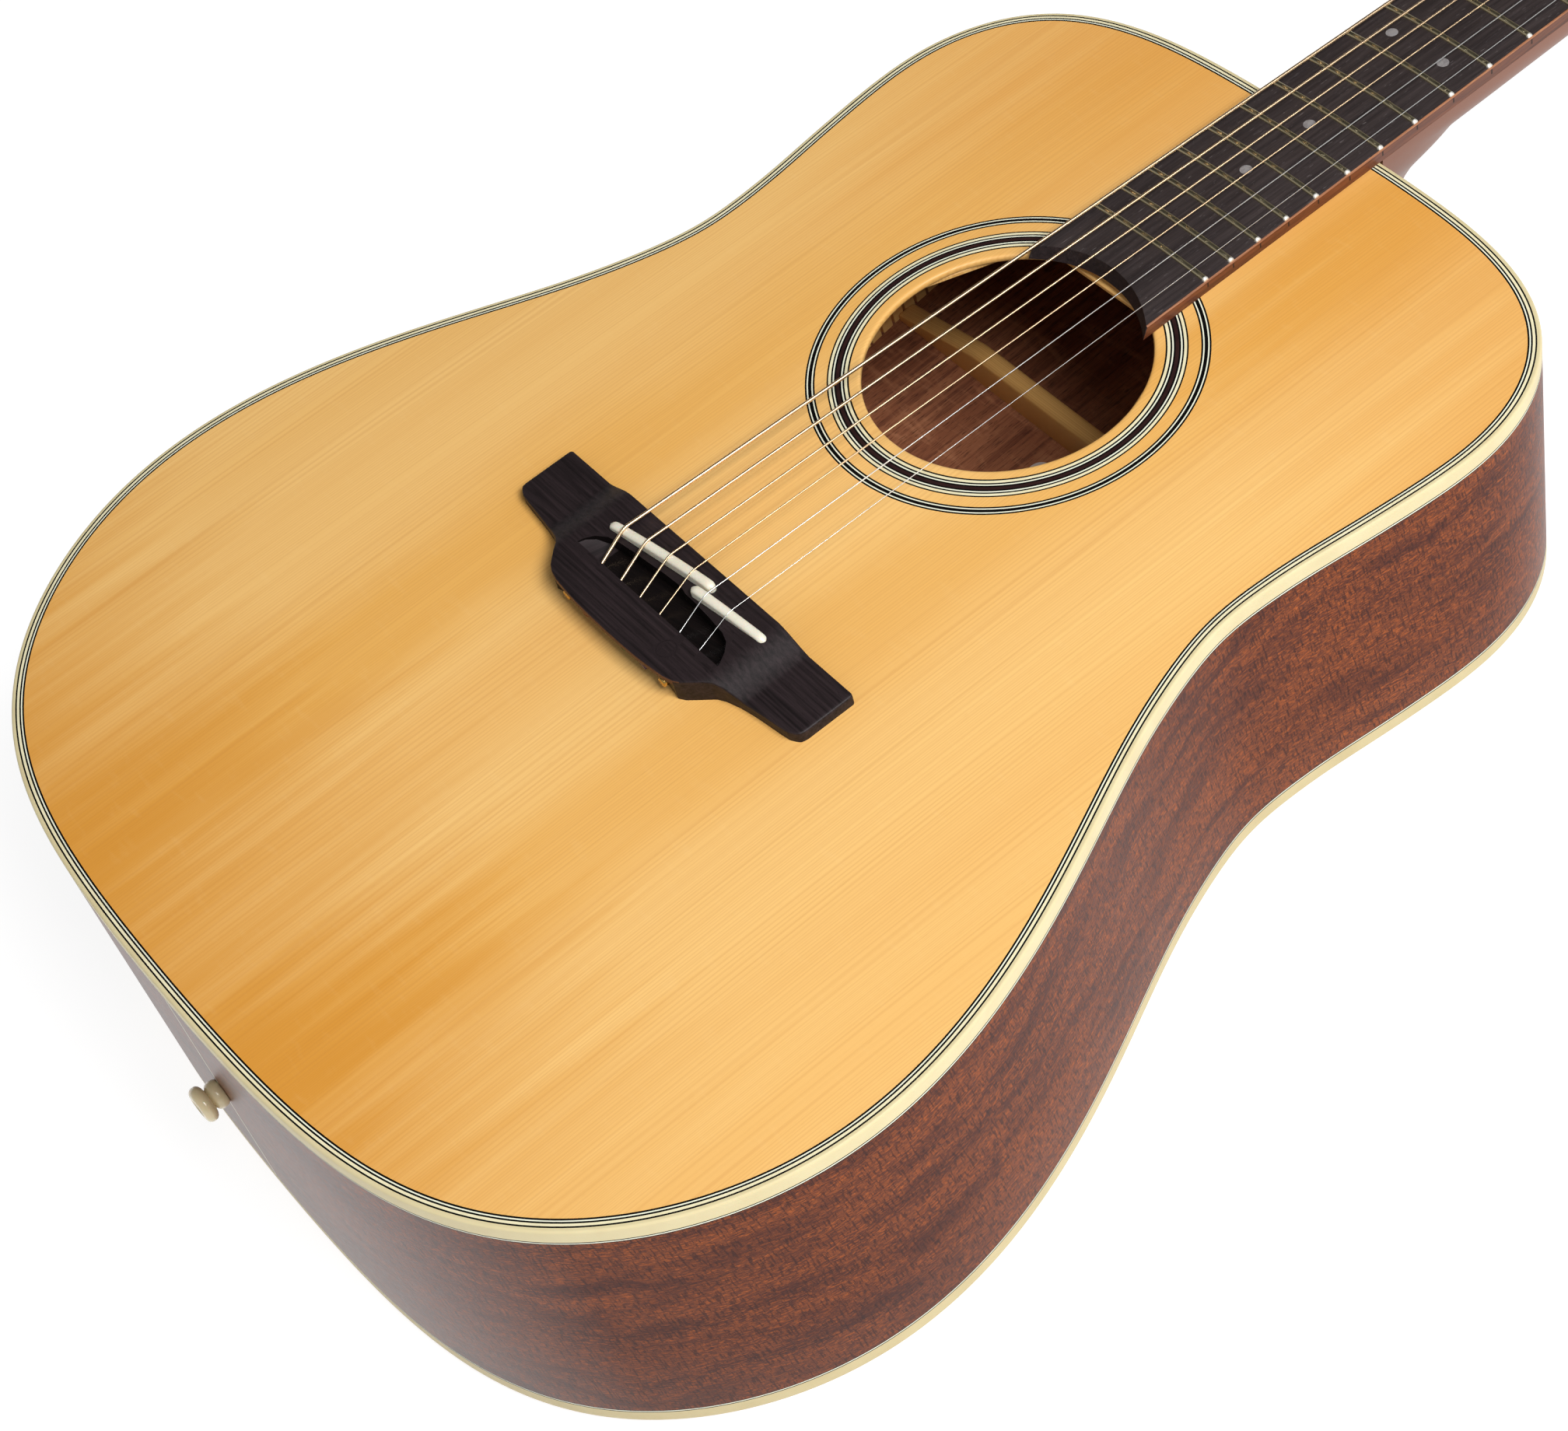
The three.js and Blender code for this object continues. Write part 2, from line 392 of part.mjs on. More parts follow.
for (const [name, [a, b]] of Object.entries(saddles)) {
  const n = 8, secs = [], d = [b[0] - a[0], b[1] - a[1]], l = Math.hypot(...d), q = [-d[1] / l, d[0] / l];
  for (let i = 0; i <= n; i++) {
    const k = i === 0 ? 0.012 : i === n ? 0.988 : i === 1 ? 0.04 : i === n - 1 ? 0.96 : 0.04 + 0.92 * (i - 1) / (n - 2);
    const w = SADDLE_W / 2 * (i === 0 || i === n ? 0.55 : 1), x = a[0] + k * d[0], y = a[1] + k * d[1];
    const t = crown(y) - (i === 0 || i === n ? 1.6 : i === 1 || i === n - 1 ? 0.5 : 0), at = (o, z) => [x + o * q[0], y + o * q[1], z];
    secs.push([at(-w, BT - 6.2), at(w, BT - 6.2), at(w, t - 1.5), at(w * 0.3, t), at(-w * 0.3, t), at(-w, t - 1.5)]);
  }
  put(body, name, loft(secs), M.bone);
}

// ---------- strap button and its screw ----------
put(body, 'strap_button', turned([[0, 2.3], [0, 4.6], [1, 5], [2.4, 5.2], [3.8, 4.9], [4.9, 3.5], [5.9, 5.6], [7.5, 6.75], [8.6, 6.4], [9.9, 4.8], [9.9, 3.6], [7.7, 2.3], [0, 2.3]], [X_TAIL_END - GAP, 0, BUTTON_Z], [-1, 0, 0], 14), M.cream);
put(body, 'strap_button_screw', turned([[-20, 0], [-17, 1.9], [7.5, 1.9], [9.5, 3.3], [9.5, 0]], [X_TAIL_END - GAP, 0, BUTTON_Z], [-1, 0, 0], 12), M.steel);

// ---------- neck: shaft, heel, tenon and headstock in one piece ----------
// u runs along the neck from the body joint (0) to the nut (358); z = 0 is the glue face of the fingerboard
const uOf = d => -NECK_PIVOT_X - d;
const boardW = u => BOARD_W0 + BOARD_TAPER * (-NECK_PIVOT_X - u);
const backFace = z => 0.75 - z * Math.tan(NECK_TILT);
const shaft = (u, depth, bottomHalf, squareness, shift = 0) => {
  const w = boardW(u < 0 ? 0 : u) / 2 - 0.1, pts = [];
  for (let k = 0; k <= 10; k++) {
    const t = Math.PI * k / 10, c = Math.cos(t), s = Math.sin(t);
    const z = -depth * Math.pow(s, squareness), y = c >= 0 ? 1 : -1;
    const flare = bottomHalf + (w - bottomHalf) * Math.pow(Math.max(0, 1 + z / depth), 1.1);
    pts.push([u + shift * z, y * Math.min(w, flare) * (k === 0 || k === 10 ? 1 : Math.pow(Math.abs(c), 0.45)), z]);
  }
  return pts;
};
const heel = [[302, 18.2], [309, 19.8], [317, 23.5], [324, 29.5], [329, 38], [332.5, 50], [334.5, 66], [335.5, 84], [336, HEEL_DEPTH]];
const neckSecs = [];
for (const [d, depth] of [[-NUT_T - 0.7, 14], [10, 14.6], [70, 15.2], [140, 15.9], [210, 16.6], [270, 17.3]]) neckSecs.push(shaft(uOf(d), depth, 0, 0.72));
for (const [d, depth] of heel) neckSecs.push(shaft(uOf(d), depth, 11.5 * Math.min(1, (depth - 16) / 20), 0.72));
neckSecs.push(shaft(uOf(350), HEEL_DEPTH, 12.5, 0.72));
neckSecs.push(shaft(0, HEEL_DEPTH, 13, 0.72).map(p => [backFace(p[2]), p[1], p[2]]));
const headHalf = h => h < 30 ? 22 + 9 * Math.pow(Math.max(0, h) / 30, 1.6) : 31 + 6 * (h - 30) / 135;
const headPlan = (h0, inset = 0) => {
  const side = [];
  for (const h of [h0, 8, 16, 24, 32, 90, 150]) if (h >= h0) side.push([h, headHalf(h) - inset]);
  side.push([163, 36.9 - inset], [170, 35.2 - inset], [174.5 - inset, 31], [177 - inset, 22], [HEAD_L - inset, 10]);
  return [...side, ...side.map(([h, y]) => [h, -y]).reverse()];
};
const headAt = new THREE.Matrix4().makeRotationY(HEAD_TILT).setPosition(uOf(-NUT_T - 1), 0, 0);
const HEAD_Z = -VENEER_T - GAP;
const slabHead = slab(headPlan(-5).map(([h, y]) => [h, h < 0 ? Math.sign(y) * 20.5 : y]), HEAD_Z - HEAD_T, HEAD_Z);
const postHole = (i, r) => rod([POST_H[i], POST_Y[i], -40], [POST_H[i], POST_Y[i], 20], r, 10);
let headSolid = cut(slabHead, ...POST_H.map((_, i) => postHole(i, 4.9)));
headSolid.applyMatrix4(headAt);
const tenon = box(TENON_X - NECK_PIVOT_X + 2, 3, -TENON_W, TENON_W, -80, -7.2);
put(neck, 'neck', cut(join(loft(neckSecs), tenon, headSolid),
  box(-60, uOf(12), -3.1, 3.1, -11.7, 4),                                    // truss rod channel
  (() => { const g = box(-40, 40, -60, 60, 0, 60); g.applyMatrix4(headAt.clone().multiply(new THREE.Matrix4().makeTranslation(41, 0, HEAD_Z))); return g; })()), M.neck);
put(neck, 'heel_cap', (() => {
  const s0 = shaft(uOf(336), HEEL_DEPTH, 11.5, 0.72);
  const w0 = 9.6, w1 = 11.2, u0 = uOf(336) - 0.5, f = backFace(-HEEL_DEPTH - 1.5) + 0.15;
  return slab([[f, -w1], [u0 * 0.55, -w1], [u0 * 0.85, -w0 * 0.92], [u0, -w0 * 0.45], [u0, w0 * 0.45], [u0 * 0.85, w0 * 0.92], [u0 * 0.55, w1], [f, w1]], -HEEL_DEPTH - GAP - CAP_T, -HEEL_DEPTH - GAP);
})(), M.dark);
put(neck, 'truss_rod', rod([-50, 0, -8.8], [uOf(16), 0, -8.8], 2.4, 10), M.steel);
put(neck, 'truss_rod_nut', turned([[0, 2.8], [0, 4.2], [12, 4.2], [12, 2], [7.5, 2], [7.5, 2.8], [0, 2.8]], [-44.3, 0, -8.8], [-1, 0, 0], 6), M.steel);

// ---------- fingerboard, frets and nut ----------
const boardTop = y => BOARD_T - y * y / (2 * BOARD_R);
const boardSec = (u, k = 1) => {
  const w = boardW(u) / 2, pts = [[u, -w, BOARD_BOTTOM], [u, w, BOARD_BOTTOM]];
  for (let j = 2; j >= -2; j--) { const y = w * j / 2; pts.push([u, y, boardTop(y)]); }
  return pts;
};
const fretU = Array.from({ length: FRETS }, (_, n) => uOf(SCALE * (1 - 2 ** (-(n + 1) / 12))));
const fret = (u, grow = 0) => {
  const w = boardW(u) / 2 - FRET_INSET, secs = [];
  for (let j = -2; j <= 2; j++) {
    const y = w * j / 2, z = boardTop(y), e = FRET_W / 2, t = Math.abs(j) === 2 ? 0.75 : 1;
    secs.push([[u - e, y, z + 0.25], [u + e, y, z + 0.25], [u + 0.5, y, z + 0.25 + (FRET_H - 0.25) * t], [u - 0.5, y, z + 0.25 + (FRET_H - 0.25) * t]]);
  }
  return loft(secs);
};
// the frets share one narrow rail let into the middle of the board's face, so that they are a single solid
const railBox = g => box(fretU[FRETS - 1] - 1 - g, fretU[0] + 1 + g, -1.2 - g, 1.2 + g, BOARD_T - 1.6 - g, BOARD_T + (g ? 1 : 0.42));
{
  const holeLocal = HOLE_X - NECK_PIVOT_X;
  const end = turned([[0, 0], [0, 46.4], [11, 49.6], [11, 0]], [holeLocal, 0, -1.2], [Math.sin(-NECK_TILT), 0, Math.cos(NECK_TILT)], 40);
  put(neck, 'fingerboard', cut(loft([boardSec(BOARD_END_X - NECK_PIVOT_X), boardSec(uOf(0) - GAP)]), end, railBox(GAP)), M.dark);
  put(neck, 'frets', join(railBox(0), ...fretU.map(u => fret(u))), M.nickel);
}
const nutSlot = y => boardTop(y) + FRET_H + 0.45;
{
  const w = BOARD_W0 / 2 - 0.1, pts = [[-w, GAP], [w, GAP]];
  for (let j = 3; j >= -3; j--) { const y = w * j / 3; pts.push([y, boardTop(y) + FRET_H + 1.1 - (Math.abs(j) === 3 ? 0.6 : 0)]); }
  put(neck, 'nut', cut(slabX(pts, uOf(0), uOf(0) + NUT_T), ...NUT_Y.map((y, i) => box(uOf(0) - 2, uOf(0) + NUT_T + 2, y - STRING_R[i] - 0.35, y + STRING_R[i] + 0.35, nutSlot(y), 14))), M.bone);
}

// ---------- headstock veneer and tuners ----------
put(head, 'headstock_veneer', cut(slab(headPlan(1.2), -VENEER_T, 0), ...POST_H.map((_, i) => postHole(i, 4.9))), M.dark);
const KEY_DH = 6.4, KEY_Z = HEAD_Z - HEAD_T - 6.0;
for (let i = 0; i < 6; i++) {
  const n = i + 1, h = POST_H[i], y = POST_Y[i], s = Math.sign(y), z0 = HEAD_Z - HEAD_T - GAP;
  const plan = [[-8, -7], [-6.5, -8.5], [9.5, -8.5], [11, -7], [11, 7.5], [9.5, 9], [-6.5, 9], [-8, 7.5]].map(([a, b]) => [h + a, y + s * b]);
  if (s < 0) plan.reverse();
  put(head, 'tuner_housing_' + n, cut(
    join(slab(plan, z0 - 11, z0), rod([h, y, z0 - 1], [h, y, GAP + 0.6], 4.6, 10), rod([h, y, GAP], [h, y, GAP + 1.3], 6.6, 10)),
    rod([h, y, z0 - 9.5], [h, y, 6], POST_R + 0.3, 10),
    rod([h + KEY_DH, y - s * 6, KEY_Z], [h + KEY_DH, y + s * 14, KEY_Z], 2.35, 8)), M.chrome);
  put(head, 'tuner_post_' + n, turned([[z0 - 9.2, 0], [z0 - 9.2, POST_R], [3.4, POST_R], [4.4, 2.6], [6.6, 2.6], [7.8, 3.1], [POST_TOP - 0.5, 3.1], [POST_TOP, 2.5], [POST_TOP, 0]], [h, y, 0], [0, 0, 1], 9), M.chrome);
  const yk = s * (headHalf(h) + 3.2);
  const oval = Array.from({ length: 12 }, (_, k) => { const t = 2 * Math.PI * k / 12; return [9 * Math.cos(t) * (1 - 0.1 * Math.sin(t)), 7.2 * Math.sin(t)]; });
  const knob = new THREE.ExtrudeGeometry(new THREE.Shape(oval.map(p => new THREE.Vector2(...p))), { depth: 2.6, bevelEnabled: true, bevelThickness: 1.3, bevelSize: 1.2, bevelOffset: -1.2, bevelSegments: 1 });
  knob.translate(0, 0, -1.3);
  if (s < 0) knob.rotateZ(Math.PI);
  knob.translate(h + KEY_DH, yk + s * 8, KEY_Z);
  put(head, 'tuner_key_' + n, join(turned([[0, 0], [0, 2], [s * y * 0 + 14.2, 2], [14.2, 3.4], [16.4, 3.4], [16.4, 2.2], [Math.abs(yk - y) + 5.2 + 2, 2.2], [Math.abs(yk - y) + 7.2, 0]], [h + KEY_DH, y - s * 4.9, KEY_Z], [0, s, 0], 8), knob), M.chrome);
}

// ---------- strings ----------
const neckAt = new THREE.Matrix4().makeRotationY(NECK_TILT).setPosition(NECK_PIVOT_X, 0, 0);
const N = (u, y, z) => new THREE.Vector3(u, y, z).applyMatrix4(neckAt).toArray();
const H = (h, y, z) => new THREE.Vector3(h, y, z).applyMatrix4(headAt).applyMatrix4(neckAt).toArray();
for (let i = 0; i < 6; i++) {
  const r = STRING_R[i], y = BRIDGE_Y[i], s = Math.sign(POST_Y[i]), R = POST_R + GAP + r;
  const pts = [ballEnd(i), mouth(i), [saddleX(i), y, crown(y) + r + GAP], N(uOf(0) - 0.2, NUT_Y[i], nutSlot(NUT_Y[i]) + r + GAP), N(uOf(0) + NUT_T + 0.4, NUT_Y[i], nutSlot(NUT_Y[i]) + r + GAP - 0.25)];
  for (let k = 0; k <= 8; k++) {
    const t = -Math.PI / 2 + (260 * Math.PI / 180) * k / 8;
    pts.push(H(POST_H[i] + R * Math.cos(t), POST_Y[i] + s * R * Math.sin(t), 3.6 + Math.max(r, 0.3) - 0.15 * k * Math.max(r, 0.3)));
  }
  const ball = rod([-679.4, BALL_Y[i], 7.66], [-677, BALL_Y[i], 7.7], 2.0, 7);
  put(body, 'string_' + (i + 1), join(tube(pts, r, 6), ball), i < 2 ? M.steel : M.bronze);
}

// ---------- assembly ----------
neck.position.x = NECK_PIVOT_X;
neck.rotation.y = NECK_TILT;
head.position.x = uOf(-NUT_T - 1);
head.rotation.y = HEAD_TILT;
neck.add(head);
const guitar = new THREE.Group();
guitar.name = 'acoustic_guitar';
guitar.add(body, neck);
guitar.rotation.y = REST_TILT;
guitar.updateMatrixWorld(true);
const bounds = new THREE.Box3().setFromObject(guitar, true);
guitar.position.set(-(bounds.min.x + bounds.max.x) / 2, -(bounds.min.y + bounds.max.y) / 2, -bounds.min.z);
guitar.updateMatrixWorld(true);

export default guitar;
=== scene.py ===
# Acoustic guitar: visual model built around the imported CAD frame.
import math
import bpy
import bmesh
import numpy as np
from mathutils import Matrix, Vector


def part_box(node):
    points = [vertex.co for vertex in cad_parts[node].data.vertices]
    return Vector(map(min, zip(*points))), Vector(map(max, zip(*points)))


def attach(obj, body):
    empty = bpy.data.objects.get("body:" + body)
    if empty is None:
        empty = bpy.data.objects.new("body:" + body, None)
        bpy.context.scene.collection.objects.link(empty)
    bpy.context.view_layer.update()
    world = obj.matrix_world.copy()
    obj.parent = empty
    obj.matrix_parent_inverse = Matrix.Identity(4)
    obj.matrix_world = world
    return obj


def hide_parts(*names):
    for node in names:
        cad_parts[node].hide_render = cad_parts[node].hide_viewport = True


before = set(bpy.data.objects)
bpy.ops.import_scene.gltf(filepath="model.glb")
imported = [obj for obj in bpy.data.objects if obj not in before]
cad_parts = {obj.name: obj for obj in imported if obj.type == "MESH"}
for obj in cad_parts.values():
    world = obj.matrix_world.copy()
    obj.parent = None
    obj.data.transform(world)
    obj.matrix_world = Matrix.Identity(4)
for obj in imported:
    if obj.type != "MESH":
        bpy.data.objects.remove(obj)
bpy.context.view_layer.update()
BODY = "guitar"
pi = math.pi

# ------------------------------------------------------------------ dimensions, in millimetres, as in the CAD model
HOLE_X, HOLE_R = -507.7, 50.4
OUTLINE = [205.095, -88.505, 64.136, -28.333, -14.947, 11.024, -8.606, 4.369, 1.4, -1.581, 0.71, 0.029,
           -0.803, 0.649, -0.223, -0.272, 0.36, -0.254, 0.048, 0.088, -0.11]
RIM = 4.65
TOP_ARCH, BACK_ARCH, BACK_FLAT = 3.0, 5.0, 0.6
TOP_T, BACK_T, SIDE_T = 2.8, 2.5, 2.2
D_NECK, D_TAIL, X_NECK, X_TAIL = 105.7, 125.5, -358.4, -862.2
TILT = math.atan((D_TAIL - D_NECK) / (X_NECK - X_TAIL))
PIVOT, NECK_TILT = -358.0, math.atan(0.018)
BOARD_T, BOARD_R, BOARD_B = 6.2, 305.0, 0.15
HEAD_TILT, HEAD_L, HEAD_T, VEN_T, NUT_T = math.radians(14), 178.0, 14.2, 1.5, 5.5
HEEL = 101.0
BR_Z, BR_H, WING_H = 3.25, 8.85, 3.5
BT = BR_Z + BR_H
SAD_W, SAD_TOP = 3.4, 15.9
DISC = (-479.2, 38.0)
STR_R = [0.152, 0.215, 0.305, 0.405, 0.535, 0.675]
BR_Y = [-27.5, -16.5, -5.5, 5.5, 16.5, 27.5]
BALL_Y = [-28.6, -18.0, -6.8, 3.9, 14.2, 25.0]
NUT_Y = [-17.75, -10.65, -3.55, 3.55, 10.65, 17.75]
POST_H = [46, 92, 138, 138, 92, 46]
POST_Y = [-20, -22.2, -24.6, 24.6, 22.2, 20]
BUTTON_Z = -62.0

ct, st = math.cos(TILT), math.sin(TILT)
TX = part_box("binding_top")[0].x * 1000 + 862.19 * ct + 6 * st
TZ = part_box("binding_back")[0].z * 1000 - (862.19 * st - 125.5 * ct)


def T(p):
    """Model millimetres to the row frame in metres."""
    p = np.asarray(p, float)
    return np.stack([(p[..., 0] * ct + p[..., 2] * st + TX), p[..., 1], (-p[..., 0] * st + p[..., 2] * ct + TZ)], -1) * 0.001


cn, sn = math.cos(NECK_TILT), math.sin(NECK_TILT)
chd, shd = math.cos(HEAD_TILT), math.sin(HEAD_TILT)


def N(p):
    """Neck space (u along the neck from the body joint) to model space."""
    p = np.asarray(p, float)
    return np.stack([PIVOT + p[..., 0] * cn + p[..., 2] * sn, p[..., 1], -p[..., 0] * sn + p[..., 2] * cn], -1)


def HN(p):
    """Headstock space to neck space."""
    p = np.asarray(p, float)
    u0 = -PIVOT + NUT_T + 1
    return np.stack([u0 + p[..., 0] * chd + p[..., 2] * shd, p[..., 1], -p[..., 0] * shd + p[..., 2] * chd], -1)


def H(p):
    return N(HN(p))


def same(p):
    return np.asarray(p, float)


# ------------------------------------------------------------------ body outline
_a = np.linspace(0, pi, 4001)
_r = sum(c * np.cos(k * _a) for k, c in enumerate(OUTLINE))
DX, DY = HOLE_X + _r * np.cos(_a), _r * np.sin(_a)
ARC = np.concatenate([[0], np.cumsum(np.hypot(np.diff(DX), np.diff(DY)))])
L = ARC[-1]
_tx, _ty = np.gradient(DX, ARC), np.gradient(DY, ARC)
_tx[0], _ty[0], _tx[-1], _ty[-1] = 0, 1, 0, -1
_n = np.hypot(_tx, _ty)
NXo, NYo = _ty / _n, -_tx / _n


def at_arc(s):
    """Points and outward normals on the bass half, s measured from the neck end."""
    s = np.asarray(s, float)
    f = lambda v: np.interp(s, ARC, v)
    n = np.stack([f(NXo), f(NYo)], -1)
    n /= np.linalg.norm(n, axis=-1)[..., None]
    return np.stack([f(DX), f(DY)], -1), n


def rim(n):
    """n stations round the whole body, 0 at the neck, n/2 at the tail."""
    h = n // 2
    p, q = at_arc(np.linspace(0, L, h + 1))
    back = slice(h - 1, 0, -1)
    P = np.concatenate([p, p[back] * [1, -1]])
    Q = np.concatenate([q, q[back] * [1, -1]])
    s = np.concatenate([np.linspace(0, L, h + 1), -np.linspace(0, L, h + 1)[back]])
    return P, Q, s


_xs = np.linspace(-860, -360, 2001)
_bw = np.zeros_like(_xs)
for i in range(len(DX) - 1):
    x0, x1 = sorted((DX[i], DX[i + 1]))
    k0, k1 = np.searchsorted(_xs, x0), np.searchsorted(_xs, x1)
    if k1 >= k0:
        k0 = max(k0 - 1, 0)
        _bw[k0:k1 + 1] = np.maximum(_bw[k0:k1 + 1], max(DY[i], DY[i + 1]))


def half_width(x):
    return np.interp(x, _xs, _bw)


def arch(x, y):
    u = 1 - ((np.asarray(x) + 610.3) / 247.3) ** 2
    b = np.maximum(half_width(x), 1e-3)
    return np.clip(u, 0, None) * np.clip(1 - (np.asarray(y) / b) ** 2, 0, None)


def top_z(x, y):
    return TOP_ARCH * arch(x, y)


def rim_back(x):
    return -(D_NECK + (D_TAIL - D_NECK) * (X_NECK - np.asarray(x)) / (X_NECK - X_TAIL))


def back_z(x, y):
    return rim_back(x) - BACK_ARCH * arch(x, y)


def outer_back(x, y):
    return np.maximum(back_z(x, y), (-TZ + 0.02 + np.asarray(x) * st) / ct)


# ------------------------------------------------------------------ mesh helpers
def grid_faces(n, m, cu, cv, base=0):
    i = np.arange(n if cu else n - 1)
    j = np.arange(m if cv else m - 1)
    I, J = np.meshgrid(i, j, indexing="ij")
    a = I * m + J
    b = ((I + 1) % n) * m + J
    c = ((I + 1) % n) * m + (J + 1) % m
    d = I * m + (J + 1) % m
    return (np.stack([a, b, c, d], -1).reshape(-1, 4) + base).tolist()


class Soup:
    """Collects closed islands: points, faces, a material number per face and a grain coordinate per point."""

    def __init__(self):
        self.v, self.f, self.m, self.g = [], [], [], []
        self.n = 0

    def add(self, V, F, mat=0, grain=None):
        V = np.asarray(V, float).reshape(-1, 3)
        self.v.append(V)
        self.f += [[int(k) + self.n for k in f] for f in F]
        self.m += list(mat) if isinstance(mat, (list, np.ndarray)) else [mat] * len(F)
        self.g.append(V if grain is None else np.asarray(grain, float).reshape(-1, 3))
        self.n += len(V)

    def ring(self, P, mat=0, grain=None):
        """P is stations x section points, closed both ways."""
        n, m = P.shape[:2]
        self.add(P, grid_faces(n, m, True, True), mat, grain)

    def loft(self, P, mat=0, grain=None, cap=True):
        n, m = P.shape[:2]
        F = grid_faces(n, m, False, True)
        if isinstance(mat, (list, np.ndarray)):
            mat = list(mat)
        else:
            mat = [mat] * len(F)
        if cap:
            F += [list(range(m)), list(range((n - 1) * m, n * m))[::-1]]
            mat += [mat[0], mat[-1]]
        self.add(P, F, mat, grain)

    def tube(self, path, r, sides=10, mat=0, taper=None):
        path = np.asarray(path, float)
        t = np.gradient(path, axis=0)
        t /= np.linalg.norm(t, axis=1)[:, None]
        ref = np.array([0, 0, 1.0]) if abs(t[0][2]) < 0.9 else np.array([0, 1.0, 0])
        out, s = [], 0.0
        G = []
        u = np.cross(t[0], ref)
        u /= np.linalg.norm(u)
        for k in range(len(path)):
            u = u - t[k] * np.dot(u, t[k])
            u /= np.linalg.norm(u)
            w = np.cross(t[k], u)
            rr = r * (taper[k] if taper is not None else 1)
            a = 2 * pi * np.arange(sides) / sides
            out.append(path[k] + rr * (np.cos(a)[:, None] * u + np.sin(a)[:, None] * w))
            if k:
                s += np.linalg.norm(path[k] - path[k - 1])
            G.append(np.stack([np.full(sides, s), a, np.zeros(sides)], -1))
        self.loft(np.array(out), mat, np.array(G))

    def lathe(self, profile, origin, axis, seg=32, mat=0):
        """profile: distance along axis, radius; first and last on the axis or the profile closes on itself."""
        pr = np.asarray(profile, float)
        ax = np.asarray(axis, float) / np.linalg.norm(axis)
        u = np.cross(ax, [0, 0, 1.0]) if abs(ax[2]) < 0.9 else np.cross(ax, [0, 1.0, 0])
        u /= np.linalg.norm(u)
        w = np.cross(ax, u)
        a = 2 * pi * np.arange(seg) / seg
        dirs = np.cos(a)[:, None] * u + np.sin(a)[:, None] * w
        closed = pr[0][1] > 1e-9
        V, F, start = [], [], 0
        if closed:
            P = np.array([[np.asarray(origin) + p[0] * ax + p[1] * d for p in pr] for d in dirs])
            self.ring(P, mat)
            return
        V.append(np.asarray(origin) + pr[0][0] * ax)
        for p in pr[1:-1]:
            V += list(np.asarray(origin) + p[0] * ax + p[1] * dirs)
        V.append(np.asarray(origin) + pr[-1][0] * ax)
        k = len(pr) - 2
        for i in range(seg):
            j = (i + 1) % seg
            F.append([0, 1 + i, 1 + j])
            for q in range(k - 1):
                F.append([1 + q * seg + i, 1 + (q + 1) * seg + i, 1 + (q + 1) * seg + j, 1 + q * seg + j])
            F.append([1 + (k - 1) * seg + i, 1 + k * seg, 1 + (k - 1) * seg + j])
        self.add(np.array(V), F, mat)


def sharpen(me, angle):
    bm = bmesh.new()
    bm.from_mesh(me)
    bmesh.ops.recalc_face_normals(bm, faces=bm.faces)
    lim = math.radians(angle)
    for f in bm.faces:
        f.smooth = True
    for e in bm.edges:
        e.smooth = not (len(e.link_faces) == 2 and e.calc_face_angle(0) > lim)
    bm.to_mesh(me)
    bm.free()


def piece(name, soup, mats, replaces=(), body=BODY, space=same, sharp=35, ride=True):
    V = np.concatenate(soup.v)
    G = np.concatenate(soup.g)
    me = bpy.data.meshes.new(name)
    me.from_pydata(T(space(V)).tolist(), [], soup.f)
    me.materials.clear()
    for m in mats:
        me.materials.append(m)
    me.polygons.foreach_set("material_index", np.asarray(soup.m, np.int32))
    a = me.attributes.new("grain", "FLOAT_VECTOR", "POINT")
    a.data.foreach_set("vector", (G * 0.1).astype(np.float32).ravel())
    sharpen(me, sharp)
    ob = bpy.data.objects.new(name, me)
    bpy.context.scene.collection.objects.link(ob)
    if ride:
        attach(ob, body)
        if replaces:
            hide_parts(*replaces)
    return ob


def apply_mods(ob, sharp=35):
    bpy.context.view_layer.update()
    dg = bpy.context.evaluated_depsgraph_get()
    me = bpy.data.meshes.new_from_object(ob.evaluated_get(dg))
    ob.modifiers.clear()
    old = ob.data
    ob.data = me
    bpy.data.meshes.remove(old)
    sharpen(me, sharp)


def cut_with(ob, tools, op="DIFFERENCE"):
    for t in tools:
        m = ob.modifiers.new("cut", "BOOLEAN")
        m.operation, m.solver, m.object = op, "EXACT", t
    apply_mods(ob)
    for t in tools:
        bpy.data.objects.remove(t)


def tool(soup, space=same):
    return piece("tool", soup, [], space=space, ride=False)


def prism(outline, z0, z1):
    o = np.asarray(outline, float)
    P = np.stack([np.column_stack([o, np.full(len(o), z0)]), np.column_stack([o, np.full(len(o), z1)])])
    s = Soup()
    s.loft(P)
    return s


def smooth_closed(pts, per=8):
    """Catmull-Rom through closed points."""
    p = np.asarray(pts, float)
    n = len(p)
    out = []
    for i in range(n):
        a, b, c, d = p[i - 1], p[i], p[(i + 1) % n], p[(i + 2) % n]
        for k in range(per):
            t = k / per
            out.append(0.5 * ((2 * b) + (-a + c) * t + (2 * a - 5 * b + 4 * c - d) * t * t + (-a + 3 * b - 3 * c + d) * t ** 3))
    return np.array(out)


